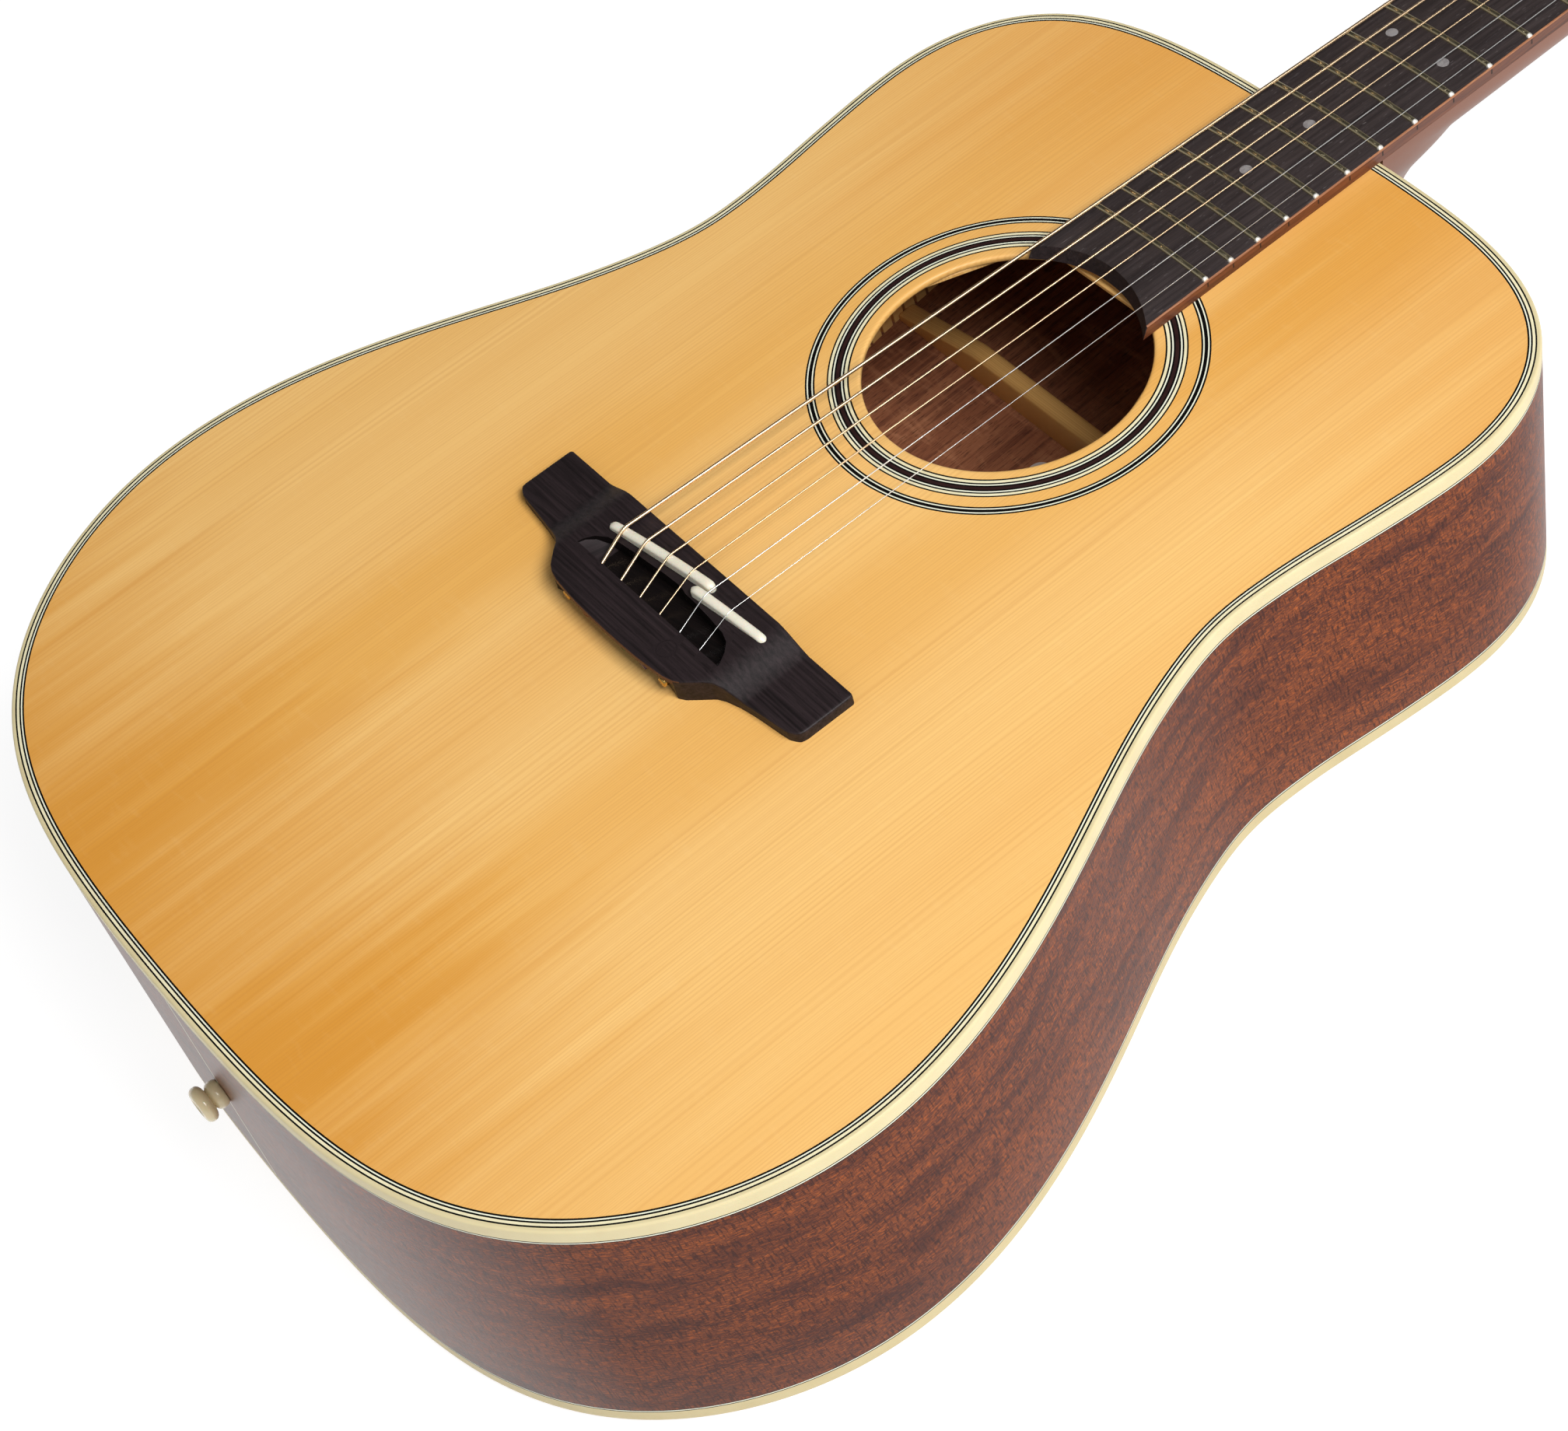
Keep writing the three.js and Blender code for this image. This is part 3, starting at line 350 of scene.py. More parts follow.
# ------------------------------------------------------------------ materials
class Mat:
    def __init__(self, name):
        self.m = bpy.data.materials.new(name)
        self.m.use_nodes = True
        self.t = self.m.node_tree
        self.t.nodes.clear()
        self.out = self.node("ShaderNodeOutputMaterial")
        self.b = self.node("ShaderNodeBsdfPrincipled")
        self.link(self.b.outputs[0], self.out.inputs[0])

    def node(self, kind, **kw):
        n = self.t.nodes.new(kind)
        for k, v in kw.items():
            setattr(n, k, v)
        return n

    def link(self, a, b):
        self.t.links.new(a, b)

    def put(self, sock, v):
        if hasattr(v, "links") or isinstance(v, bpy.types.NodeSocket):
            self.link(v, sock)
        else:
            sock.default_value = v

    def grain(self, attr=True):
        if attr:
            return self.node("ShaderNodeAttribute", attribute_name="grain").outputs["Vector"]
        tc = self.node("ShaderNodeTexCoord").outputs["Object"]
        return self.mapped(tc, (100, 100, 100))

    def mapped(self, vec, scale=(1, 1, 1), loc=(0, 0, 0), rot=(0, 0, 0)):
        m = self.node("ShaderNodeMapping")
        m.inputs["Scale"].default_value = scale
        m.inputs["Location"].default_value = loc
        m.inputs["Rotation"].default_value = rot
        self.link(vec, m.inputs["Vector"])
        return m.outputs[0]

    def noise(self, vec, scale=1.0, detail=2.0, rough=0.5, dist=0.0):
        n = self.node("ShaderNodeTexNoise")
        self.link(vec, n.inputs["Vector"])
        n.inputs["Scale"].default_value = scale
        n.inputs["Detail"].default_value = detail
        n.inputs["Roughness"].default_value = rough
        n.inputs["Distortion"].default_value = dist
        return n.outputs[0]

    def wave(self, vec, scale=1.0, dist=0.0, detail=1.0, dscale=1.0, direction="Y", kind="SIN"):
        n = self.node("ShaderNodeTexWave", wave_type="BANDS", bands_direction=direction, wave_profile=kind)
        self.link(vec, n.inputs["Vector"])
        n.inputs["Scale"].default_value = scale
        n.inputs["Distortion"].default_value = dist
        n.inputs["Detail"].default_value = detail
        n.inputs["Detail Scale"].default_value = dscale
        return n.outputs["Fac"]

    def ramp(self, fac, stops, interp="LINEAR"):
        r = self.node("ShaderNodeValToRGB")
        r.color_ramp.interpolation = interp
        e = r.color_ramp.elements
        while len(e) < len(stops):
            e.new(0.5)
        for k, (p, c) in zip(e, stops):
            k.position = p
            k.color = (*c, 1) if len(c) == 3 else c
        self.link(fac, r.inputs[0])
        return r.outputs[0]

    def map(self, fac, a, b, c, d, clamp=True):
        r = self.node("ShaderNodeMapRange", clamp=clamp)
        self.link(fac, r.inputs[0])
        for i, v in enumerate((a, b, c, d)):
            r.inputs[i + 1].default_value = v
        return r.outputs[0]

    def mix(self, fac, a, b, blend="MIX"):
        n = self.node("ShaderNodeMix", data_type="RGBA", blend_type=blend)
        self.put(n.inputs[0], fac)
        for s, v in ((n.inputs[6], a), (n.inputs[7], b)):
            self.put(s, (*v, 1) if isinstance(v, tuple) and len(v) == 3 else v)
        return n.outputs[2]

    def math(self, op, a, b=0.0):
        n = self.node("ShaderNodeMath", operation=op)
        self.put(n.inputs[0], a)
        self.put(n.inputs[1], b)
        return n.outputs[0]

    def bump(self, height, strength=0.2, dist=0.0002, normal=None):
        n = self.node("ShaderNodeBump")
        n.inputs["Strength"].default_value = strength
        n.inputs["Distance"].default_value = dist
        self.link(height, n.inputs["Height"])
        if normal is not None:
            self.link(normal, n.inputs["Normal"])
        return n.outputs[0]

    def set(self, **kw):
        names = {"color": "Base Color", "rough": "Roughness", "metal": "Metallic", "normal": "Normal", "coat": "Coat Weight", "coat_rough": "Coat Roughness",
                 "ior": "IOR", "spec": "Specular IOR Level", "sss": "Subsurface Weight", "sss_scale": "Subsurface Scale", "aniso": "Anisotropic", "sheen": "Sheen Weight"}
        for k, v in kw.items():
            s = self.b.inputs[names[k]]
            if isinstance(v, tuple) and len(v) == 3 and k == "color":
                v = (*v, 1)
            self.put(s, v)
        return self.m


def srgb(r, g, b):
    f = lambda c: (c / 255 / 12.92) if c / 255 <= 0.04045 else ((c / 255 + 0.055) / 1.055) ** 2.4
    return (f(r), f(g), f(b))


def spruce(name, attr=True, top=False, line=1.0):
    m = Mat(name)
    g = m.grain(attr)
    # fine straight year lines, about a millimetre apart, each a little different
    lines = m.noise(m.mapped(g, (0.008, 10.5, 0.2)), 1.0, 2.0, 0.55, 0.0)
    lines2 = m.noise(m.mapped(g, (0.012, 24.0, 0.2), (3, 7, 1)), 1.0, 2.0, 0.6)
    bands = m.noise(m.mapped(g, (0.010, 0.15, 0.1), (0, 4.3, 0)), 1.0, 2.0, 0.5)
    bands2 = m.noise(m.mapped(g, (0.035, 0.55, 0.1), (5, 1.7, 0)), 1.0, 3.0, 0.55)
    fleck = m.noise(m.mapped(g, (1.6, 15.0, 1.0)), 1.0, 3.0, 0.7)
    cloud = m.noise(m.mapped(g, (0.12, 0.2, 0.1), (2, 9, 4)), 1.0, 3.0, 0.55)
    silk = m.noise(m.mapped(g, (3.0, 0.8, 1.0)), 1.0, 2.0, 0.6)
    base = m.ramp(bands, [(0.34, srgb(243, 190, 112)), (0.45, srgb(246, 196, 119)), (0.58, srgb(248, 200, 124)), (0.70, srgb(244, 193, 115))])
    col = base
    if top:
        sep = m.node("ShaderNodeSeparateXYZ")
        m.link(g, sep.inputs[0])
        x, y = sep.outputs[0], m.math("ADD", sep.outputs[1], m.map(cloud, 0.2, 0.8, -0.9, 0.9, False))
        xw = m.math("ADD", x, m.map(m.noise(m.mapped(g, (0.05, 1.1, 0.1), (8, 2, 1)), 1.0, 3.0, 0.6), 0.2, 0.8, -6.0, 6.0, False))
        near = lambda c, w: m.map(m.math("ABSOLUTE", m.math("SUBTRACT", y, c)), w, w * 0.25, 0.0, 1.0)
        tail = m.map(xw, -74.5, -86.5, 0.0, 1.0)
        head = m.map(xw, -50.0, -38.0, 0.0, 1.0)
        s1 = m.math("MULTIPLY", near(6.6, 3.6), m.map(xw, -45.0, -80.0, 0.45, 0.80))
        s2 = m.math("MULTIPLY", near(-5.3, 3.2), m.math("MAXIMUM", m.map(xw, -72.0, -84.0, 0.45, 0.95), m.map(xw, -52.0, -42.0, 0.4, 0.85)))
        stripe = m.math("MAXIMUM", s1, s2)
        edge = m.math("MULTIPLY", tail, m.map(y, -17.0, -9.5, 0.25, 0.85))
        col = m.mix(stripe, col, srgb(235, 173, 79))
        col = m.mix(m.math("MULTIPLY", stripe, m.math("ADD", m.math("MULTIPLY", tail, 0.7), m.math("MULTIPLY", head, 0.15))), col, srgb(216, 142, 47))
        col = m.mix(edge, col, srgb(221, 152, 56))
        col = m.mix(m.math("MULTIPLY", head, 0.42), col, srgb(225, 153, 62))
    sw = m.node("ShaderNodeVectorMath", operation="ADD")
    comb = m.node("ShaderNodeCombineXYZ")
    m.link(m.map(m.noise(m.mapped(g, (0.004, 0.45, 0.1), (1, 6, 2)), 1.0, 2.0, 0.5), 0.2, 0.8, -0.9, 0.9, False), comb.inputs[1])
    m.link(g, sw.inputs[0])
    m.link(comb.outputs[0], sw.inputs[1])
    year = m.wave(m.mapped(sw.outputs[0], (0.0, 1.0, 0.0)), 2.45, direction="Y")
    col = m.mix(m.map(bands2, 0.50, 0.72, 0.0, 0.08 * line), col, srgb(226, 164, 84))
    col = m.mix(m.map(lines, 0.48, 0.68, 0.0, 0.10 * line), col, srgb(206, 138, 62))
    col = m.mix(m.map(year, 0.50, 1.0, 0.0, 0.17 * line), col, srgb(204, 132, 56))
    col = m.mix(m.map(lines2, 0.50, 0.70, 0.0, 0.12), col, srgb(205, 138, 64))
    col = m.mix(m.map(fleck, 0.60, 0.80, 0.0, 0.18), col, srgb(196, 132, 62))
    col = m.mix(m.map(silk, 0.58, 0.75, 0.0, 0.05), col, srgb(255, 222, 160))
    h = m.math("ADD", m.map(lines, 0.4, 0.7, 0.0, 1.0), m.map(fleck, 0.4, 0.8, 0.0, 0.4))
    return m.set(color=col, rough=m.map(lines, 0.3, 0.7, 0.40, 0.50), coat=0.10, coat_rough=0.35, normal=m.bump(h, 0.08, 0.00006))


def bare_wood(name, attr=True):
    """unfinished mahogany inside the body: dry, lighter, with open dark pores"""
    m = Mat(name)
    g = m.grain(attr)
    ribbon = m.noise(m.mapped(g, (0.02, 0.5, 0.3), (2, 3, 0)), 1.0, 2.0, 0.55, 0.3)
    streak = m.noise(m.mapped(g, (0.14, 4.2, 1.0)), 1.0, 3.0, 0.6)
    pores = m.noise(m.mapped(g, (1.8, 22.0, 3.0), (1, 5, 2)), 1.0, 2.0, 0.6)
    curl = m.noise(m.mapped(g, (1.9, 0.5, 1.0), (6, 2, 1)), 1.0, 3.0, 0.6, 0.5)
    base = m.ramp(ribbon, [(0.34, srgb(128, 76, 52)), (0.5, srgb(150, 94, 65)), (0.66, srgb(166, 108, 76))])
    col = m.mix(m.map(streak, 0.47, 0.64, 0.0, 0.75), base, srgb(100, 56, 40))
    col = m.mix(m.map(curl, 0.52, 0.68, 0.0, 0.45), col, srgb(186, 126, 90))
    col = m.mix(m.map(pores, 0.56, 0.66, 0.0, 0.75), col, srgb(64, 34, 25))
    return m.set(color=col, rough=m.map(streak, 0.3, 0.7, 0.6, 0.75), spec=0.2, normal=m.bump(m.map(pores, 0.55, 0.7, 1.0, 0.0), 0.15, 0.0001))


def side_wood(name):
    """figured mahogany under a thin satin finish: short glowing flecks, dark pores and faint ticks across the grain"""
    m = Mat(name)
    g = m.grain()
    c = srgb
    wv = m.node("ShaderNodeVectorMath", operation="ADD")
    wc = m.node("ShaderNodeCombineXYZ")
    m.link(m.map(m.noise(m.mapped(g, (0.16, 0.35, 0.1), (6, 1, 3)), 1.0, 3.0, 0.6), 0.2, 0.8, -1.3, 1.3, False), wc.inputs[1])
    m.link(g, wv.inputs[0])
    m.link(wc.outputs[0], wv.inputs[1])
    gw = wv.outputs[0]
    ribbon = m.noise(m.mapped(gw, (0.05, 0.6, 0.3), (2, 3, 0)), 1.0, 3.0, 0.6, 0.3)
    band = m.noise(m.mapped(gw, (0.15, 1.0, 1.0), (4, 1, 0)), 1.0, 3.0, 0.62, 0.3)
    mott = m.noise(m.mapped(g, (1.3, 3.2, 1.0)), 1.0, 3.0, 0.65, 0.4)
    fleck = m.noise(m.mapped(g, (3.0, 11.0, 2.0)), 1.0, 3.0, 0.72)
    fleck2 = m.noise(m.mapped(g, (5.5, 18.0, 2.0), (3, 8, 1)), 1.0, 3.0, 0.7)
    tick = m.noise(m.mapped(m.mapped(g, rot=(0, 0, 0.14)), (12.5, 1.5, 1.0), (7, 9, 2)), 1.0, 3.0, 0.6)
    pores = m.noise(m.mapped(g, (4.5, 20.0, 3.0), (1, 5, 2)), 1.0, 2.0, 0.6)
    base = m.ramp(ribbon, [(0.32, c(68, 33, 25)), (0.45, c(88, 43, 29)), (0.58, c(104, 53, 32)), (0.70, c(76, 37, 26))])
    col = m.mix(m.map(mott, 0.46, 0.64, 0.0, 0.55), base, c(142, 72, 34))
    col = m.mix(m.map(fleck, 0.50, 0.62, 0.0, 0.70), col, c(174, 90, 38))
    col = m.mix(m.map(fleck2, 0.54, 0.66, 0.0, 0.55), col, c(196, 106, 48))
    col = m.mix(m.map(band, 0.45, 0.66, 0.0, 0.66), col, c(58, 26, 24))
    col = m.mix(m.map(m.math("MULTIPLY", tick, m.map(mott, 0.3, 0.6, 0.8, 1.05)), 0.50, 0.60, 0.0, 0.72), col, c(48, 23, 21))
    col = m.mix(m.map(pores, 0.56, 0.64, 0.0, 0.60), col, c(36, 17, 15))
    # painted shade: the lower bout is darkened towards the back edge; the finish is also made more reflective towards
    # the lower edge and round the tail
    sep = m.node("ShaderNodeSeparateXYZ")
    m.link(g, sep.inputs[0])
    bout_shade = m.math("MULTIPLY", m.map(sep.outputs[0], L * 0.052, L * 0.075, 0.0, 0.34), m.map(sep.outputs[1], -0.5, -7.0, 0.35, 1.0))
    col = m.mix(bout_shade, col, c(52, 27, 25))
    low = m.map(sep.outputs[1], -4.0, -12.0, 0.08, 0.20)
    tail = m.map(sep.outputs[0], L * 0.1 - 17.0, L * 0.1 - 6.0, 0.0, 0.55)
    spec = m.math("ADD", low, tail)
    h = m.map(pores, 0.52, 0.68, 1.0, 0.0)
    return m.set(color=col, rough=m.map(fleck, 0.3, 0.7, 0.30, 0.42), coat=0.0, spec=spec, normal=m.bump(h, 0.2, 0.0001))


def mahogany(name, attr=True, coat=0.2, along=True):
    m = Mat(name)
    g = m.grain(attr)
    c = srgb
    ribbon = m.noise(m.mapped(g, (0.03, 0.42, 0.3), (2, 3, 0)), 1.0, 2.0, 0.55, 0.4)
    streak = m.noise(m.mapped(g, (0.16, 3.2, 1.0)), 1.0, 3.0, 0.6, 0.2)
    fine = m.noise(m.mapped(g, (2.2, 11.0, 2.0)), 1.0, 4.0, 0.72)
    flame = m.noise(m.mapped(g, (1.7, 0.35, 1.0), rot=(0, 0, 0.3)), 1.0, 3.0, 0.6, 0.6)
    pores = m.noise(m.mapped(g, (3.6, 17.0, 3.0), (1, 5, 2)), 1.0, 2.5, 0.65)
    cross = m.noise(m.mapped(g, (12.0, 2.6, 1.0), (7, 9, 2), (0, 0, 0.12)), 1.0, 3.0, 0.65)
    base = m.ramp(ribbon, [(0.32, c(92, 45, 29)), (0.46, c(124, 63, 37)), (0.58, c(146, 78, 44)), (0.70, c(108, 53, 33))])
    col = m.mix(m.map(streak, 0.47, 0.62, 0.0, 0.72), base, c(76, 36, 27))
    col = m.mix(m.map(fine, 0.50, 0.70, 0.0, 0.62), col, c(178, 100, 54))
    col = m.mix(m.map(flame, 0.52, 0.70, 0.0, 0.40), col, c(176, 98, 50))
    col = m.mix(m.map(cross, 0.56, 0.68, 0.0, 0.50), col, c(58, 28, 22))
    col = m.mix(m.map(pores, 0.58, 0.66, 0.0, 0.85), col, c(38, 17, 14))
    h = m.map(pores, 0.52, 0.68, 1.0, 0.0)
    return m.set(color=col, rough=m.map(fine, 0.3, 0.7, 0.36, 0.48), coat=coat, coat_rough=0.25, spec=0.4, normal=m.bump(h, 0.2, 0.0001))


def neck_wood():
    m = Mat("neck_mahogany")
    g = m.grain()
    ribbon = m.noise(m.mapped(g, (0.03, 0.9, 0.9), (2, 3, 0)), 1.0, 2.0, 0.5, 0.3)
    streak = m.noise(m.mapped(g, (0.16, 5.0, 5.0)), 1.0, 3.0, 0.6)
    pores = m.noise(m.mapped(g, (1.4, 26.0, 26.0), (1, 5, 2)), 1.0, 2.0, 0.6)
    base = m.ramp(ribbon, [(0.32, srgb(104, 62, 44)), (0.5, srgb(124, 77, 55)), (0.68, srgb(138, 87, 63))])
    col = m.mix(m.map(streak, 0.48, 0.68, 0.0, 0.5), base, srgb(92, 52, 37))
    col = m.mix(m.map(pores, 0.62, 0.71, 0.0, 0.65), col, srgb(66, 34, 26))
    return m.set(color=col, rough=m.map(streak, 0.3, 0.7, 0.38, 0.5), coat=0.15, coat_rough=0.35, normal=m.bump(m.map(pores, 0.55, 0.72, 1.0, 0.0), 0.14, 0.0001))


def rosewood(name, lo, hi, dust=0.0, rough=(0.5, 0.66), attr=True, warm=None, spec=0.3):
    m = Mat(name)
    g = m.grain(attr)
    streak = m.noise(m.mapped(g, (0.22, 7.5, 7.5)), 1.0, 4.0, 0.6, 0.2)
    fine = m.noise(m.mapped(g, (0.8, 34.0, 34.0)), 1.0, 3.0, 0.6)
    cloud = m.noise(m.mapped(g, (0.25, 0.5, 0.5)), 1.0, 2.0)
    pores = m.noise(m.mapped(g, (2.6, 21.0, 21.0), (3, 1, 8)), 1.0, 2.0, 0.6)
    col = m.mix(m.map(streak, 0.35, 0.68, 0.0, 1.0), lo, hi)
    col = m.mix(m.map(cloud, 0.4, 0.7, 0.0, 0.3), col, tuple(v * 0.8 for v in lo))
    if warm:
        col = m.mix(m.map(fine, 0.5, 0.72, 0.0, 0.5), col, warm)
    if dust:
        speck = m.noise(m.mapped(g, (14.0, 22.0, 22.0), (9, 2, 1)), 1.0, 2.0, 0.7)
        col = m.mix(m.map(fine, 0.52, 0.75, 0.0, 0.35), col, srgb(88, 80, 82))
        col = m.mix(m.map(pores, 0.66, 0.76, 0.0, dust), col, srgb(126, 118, 118))
        col = m.mix(m.map(speck, 0.72, 0.80, 0.0, dust), col, srgb(150, 144, 146))
    else:
        col = m.mix(m.map(pores, 0.62, 0.70, 0.0, 0.5), col, tuple(v * 0.5 for v in lo))
    return m.set(color=col, rough=m.map(fine, 0.3, 0.7, rough[0], rough[1]), normal=m.bump(m.map(pores, 0.5, 0.72, 1.0, 0.0), 0.12, 0.0001), spec=spec)


def plastic(name, rgb, rgb2=None, rough=0.3, coat=0.2, scale=0.8, sss=0.0, spec=0.4):
    m = Mat(name)
    g = m.grain()
    n = m.noise(m.mapped(g, (scale, scale, scale)), 1.0, 3.0)
    f = m.noise(m.mapped(g, (9, 9, 9)), 1.0, 2.0)
    c = srgb(*rgb)
    col = m.mix(m.map(n, 0.3, 0.7, 0.0, 1.0), c, srgb(*rgb2) if rgb2 else tuple(v * 0.9 for v in c))
    return m.set(color=col, rough=m.map(f, 0.3, 0.7, rough * 0.85, rough * 1.2), coat=coat, coat_rough=0.2, sss=sss, sss_scale=0.001, spec=spec, normal=m.bump(f, 0.04, 0.00003))


def metal(name, rgb, rough=0.2, scratch=0.1, winding=0.0, attr=True):
    m = Mat(name)
    g = m.grain(attr)
    n = m.noise(m.mapped(g, (0.7, 12.0, 12.0)), 1.0, 3.0)
    c = srgb(*rgb)
    col = m.mix(m.map(n, 0.3, 0.7, 0.0, 1.0), c, tuple(v * 0.86 for v in c))
    if winding:
        w = m.wave(m.mapped(g, (1.0, 0, 0)), 1.0 / winding * 0.5, direction="X")
        nrm = m.bump(w, 0.25, 0.00005)
        # painted shade: the metal is darkened in the grooves between the windings
        col = m.mix(m.map(w, 0.0, 0.4, 0.35, 0.0), col, tuple(v * 0.5 for v in c))
    else:
        nrm = m.bump(n, scratch, 0.00003)
    return m.set(color=col, metal=1.0, rough=m.map(n, 0.3, 0.7, rough * 0.85, rough * 1.2), normal=nrm)


def bone():
    m = Mat("bone")
    g = m.grain()
    n = m.noise(m.mapped(g, (0.5, 0.5, 3.0)), 1.0, 3.0)
    f = m.noise(m.mapped(g, (6, 6, 14)), 1.0, 2.0)
    col = m.mix(m.map(n, 0.3, 0.7, 0.0, 1.0), srgb(238, 234, 218), srgb(228, 221, 200))
    return m.set(color=col, rough=m.map(f, 0.3, 0.7, 0.22, 0.36), coat=0.3, coat_rough=0.15, sss=0.15, sss_scale=0.0015, normal=m.bump(f, 0.03, 0.00003))


def inlay_dot():
    m = Mat("pearl_dot")
    g = m.grain()
    n = m.noise(m.mapped(g, (3, 3, 3)), 1.0, 3.0, dist=1.5)
    col = m.ramp(n, [(0.35, srgb(124, 119, 120)), (0.5, srgb(150, 145, 144)), (0.65, srgb(138, 137, 140))])
    return m.set(color=col, rough=0.28, coat=0.3, coat_rough=0.1)


M_TOP = spruce("top_spruce", top=True)
M_SIDE = side_wood("side_mahogany")
M_BACK = mahogany("back_mahogany", coat=0.1)
M_BARE = bare_wood("bare_mahogany")
M_INNER = spruce("inner_spruce", line=2.4)
M_INNER_CAD = spruce("inner_spruce_blocks", attr=False, line=2.4)
M_NECK = neck_wood()
M_BRIDGE = rosewood("bridge_wood", srgb(25, 19, 20), srgb(50, 40, 42), rough=(0.42, 0.55), spec=0.22)
# painted shade: darker copy of the bridge wood for the saddle recess and the channel under the rear face
M_BRIDGE_SHADE = rosewood("bridge_recess_shade", srgb(12, 9, 9), srgb(21, 15, 14), rough=(0.26, 0.34), spec=0.3)
# painted reflection: lighter orange-brown copy of the bridge wood for the upper rear face, where the soundboard is
# mirrored
M_LIP_REFLECTION = rosewood("bridge_rear_lip_reflection", srgb(74, 46, 33), srgb(104, 68, 48), rough=(0.4, 0.5), spec=0.2)
M_BOARD = rosewood("board_face", srgb(40, 33, 33), srgb(62, 53, 52), dust=0.55, rough=(0.45, 0.62))
M_BSIDE = rosewood("board_side", srgb(78, 40, 24), srgb(116, 64, 40), rough=(0.32, 0.46), warm=srgb(140, 82, 50), spec=0.4)
M_BEDGE = rosewood("board_edge", srgb(130, 80, 52), srgb(176, 118, 80), rough=(0.28, 0.42), warm=srgb(206, 150, 108), spec=0.45)
M_BEND = rosewood("board_end", srgb(28, 21, 23), srgb(52, 41, 42), dust=0.45, rough=(0.3, 0.5), spec=0.45)
M_VENEER = rosewood("headstock_wood", srgb(34, 27, 28), srgb(62, 46, 42), rough=(0.22, 0.34), spec=0.5)
M_CREAM = plastic("binding_cream", (220, 207, 164), (215, 200, 156), rough=0.42, coat=0.0, sss=0.03, spec=0.25)
# painted shade: darker copy of the binding cream for the back edge
M_CREAM_BACK_SHADE = plastic("binding_cream_back_shade", (206, 190, 145), (199, 182, 136), rough=0.42, coat=0.0, sss=0.03, spec=0.25)
M_BLACK = plastic("line_black", (7, 6, 6), (11, 9, 9), rough=0.5, coat=0.0, spec=0.08)
M_WHITE = plastic("line_white", (238, 239, 219), (231, 233, 211), rough=0.4, coat=0.0)
M_RCREAM = plastic("line_cream", (240, 232, 196), (232, 222, 182), rough=0.4, coat=0.0)
M_BROWN = plastic("line_brown", (52, 31, 29), (42, 25, 25), rough=0.5, scale=3, coat=0.0, spec=0.12)
M_BUTTON = plastic("button_cream", (226, 209, 168), (218, 200, 158), rough=0.16, coat=0.6, sss=0.08)
M_PAD = plastic("pad_grey", (214, 202, 196), (204, 192, 186), rough=0.5, coat=0.0)
M_BONE = bone()
M_DOT = inlay_dot()
M_FRET = metal("fret_wire", (204, 192, 158), 0.30, 0.02)
# painted highlight: whitish copy of the fret metal for the rounded fret ends
M_FEND_HIGHLIGHT = metal("fret_end", (250, 248, 240), 0.55, 0.02)
M_TANG = plastic("tang_slot", (44, 28, 22), rough=0.6, coat=0.0)
M_STEEL = metal("plain_string", (246, 246, 244), 0.3, 0.05)
M_BRONZE = [metal("wound_bronze_%d" % k, (252, 220, 180), 0.32, winding=w) for k, w in enumerate((0.022, 0.03, 0.038, 0.046))]
M_CHROME = metal("chrome", (214, 215, 219), 0.07, 0.02)
M_INSTEEL = metal("inner_steel", (150, 150, 152), 0.35, 0.2)
M_INSTEEL_CAD = metal("inner_steel_rod", (150, 150, 152), 0.35, 0.2, attr=False)

# ------------------------------------------------------------------ soundboard
NA = 480
P0, Q0, S0 = rim(NA)
ANG = np.arctan2(P0[:, 1], P0[:, 0] - HOLE_X)
CA, SA = np.cos(ANG), np.sin(ANG)


ROS_X, ROS_Y = HOLE_X - 1.1, -1.0


def circ(r, dz):
    x, y = ROS_X + r * CA, ROS_Y + r * SA
    return np.stack([x, y, top_z(x, y) + dz], -1)


def between(k, dz, r=69.8, o=0.0):
    x, y = ROS_X + r * CA, ROS_Y + r * SA
    e = P0 + o * Q0
    X, Y = x + k * (e[:, 0] - x), y + k * (e[:, 1] - y)
    return np.stack([X, Y, top_z(X, Y) + dz], -1)


IN0, IN1, OUT0, OUT1, GD = 54.4, 62.15, 66.4, 69.8, 1.0
cols = [circ(51.2, -TOP_T), circ(50.7, -TOP_T + 0.15), circ(50.4, -TOP_T + 0.6), circ(50.4, -1.1), circ(50.55, -0.55), circ(50.9, -0.2), circ(51.5, -0.03), circ(52.2, 0),
        circ(IN0, 0), circ(IN0, -GD), circ(IN1, -GD), circ(IN1, 0), circ(64, 0), circ(OUT0, 0), circ(OUT0, -GD), circ(OUT1, -GD), circ(OUT1, 0)]
cols += [between(k, 0) for k in np.linspace(0, 1, 29)[1:]]
cols += [between(k, -TOP_T) for k in np.linspace(1, 0, 13)]
s = Soup()
s.ring(np.stack(cols, 1))
piece("top_board", s, [M_TOP], ["soundboard"], sharp=40)

# rosette lines, each a band of its own let into the board
def rings(name, spec, node, mats):
    s = Soup()
    for r0, r1, mi in spec:
        s.ring(np.stack([circ(r0, 0), circ(r1, 0), circ(r1, -GD), circ(r0, -GD)], 1), mi)
    return piece(name, s, mats, [node])


RM = [M_BLACK, M_RCREAM, M_WHITE, M_BROWN]
rings("rosette_inner_lines", [(54.4, 55.0, 0), (55.0, 56.0, 1), (56.0, 56.62, 0), (56.62, 57.14, 2), (57.14, 57.75, 0), (57.75, 58.95, 3), (58.95, 59.56, 0),
                              (59.56, 60.08, 2), (60.08, 60.66, 0), (60.66, 61.6, 1), (61.6, 62.15, 0)], "rosette_inner", RM)
rings("rosette_outer_lines", [(66.4, 67.02, 0), (67.02, 67.5, 2), (67.5, 68.7, 0), (68.7, 69.18, 2), (69.18, 69.8, 0)], "rosette_outer", RM)

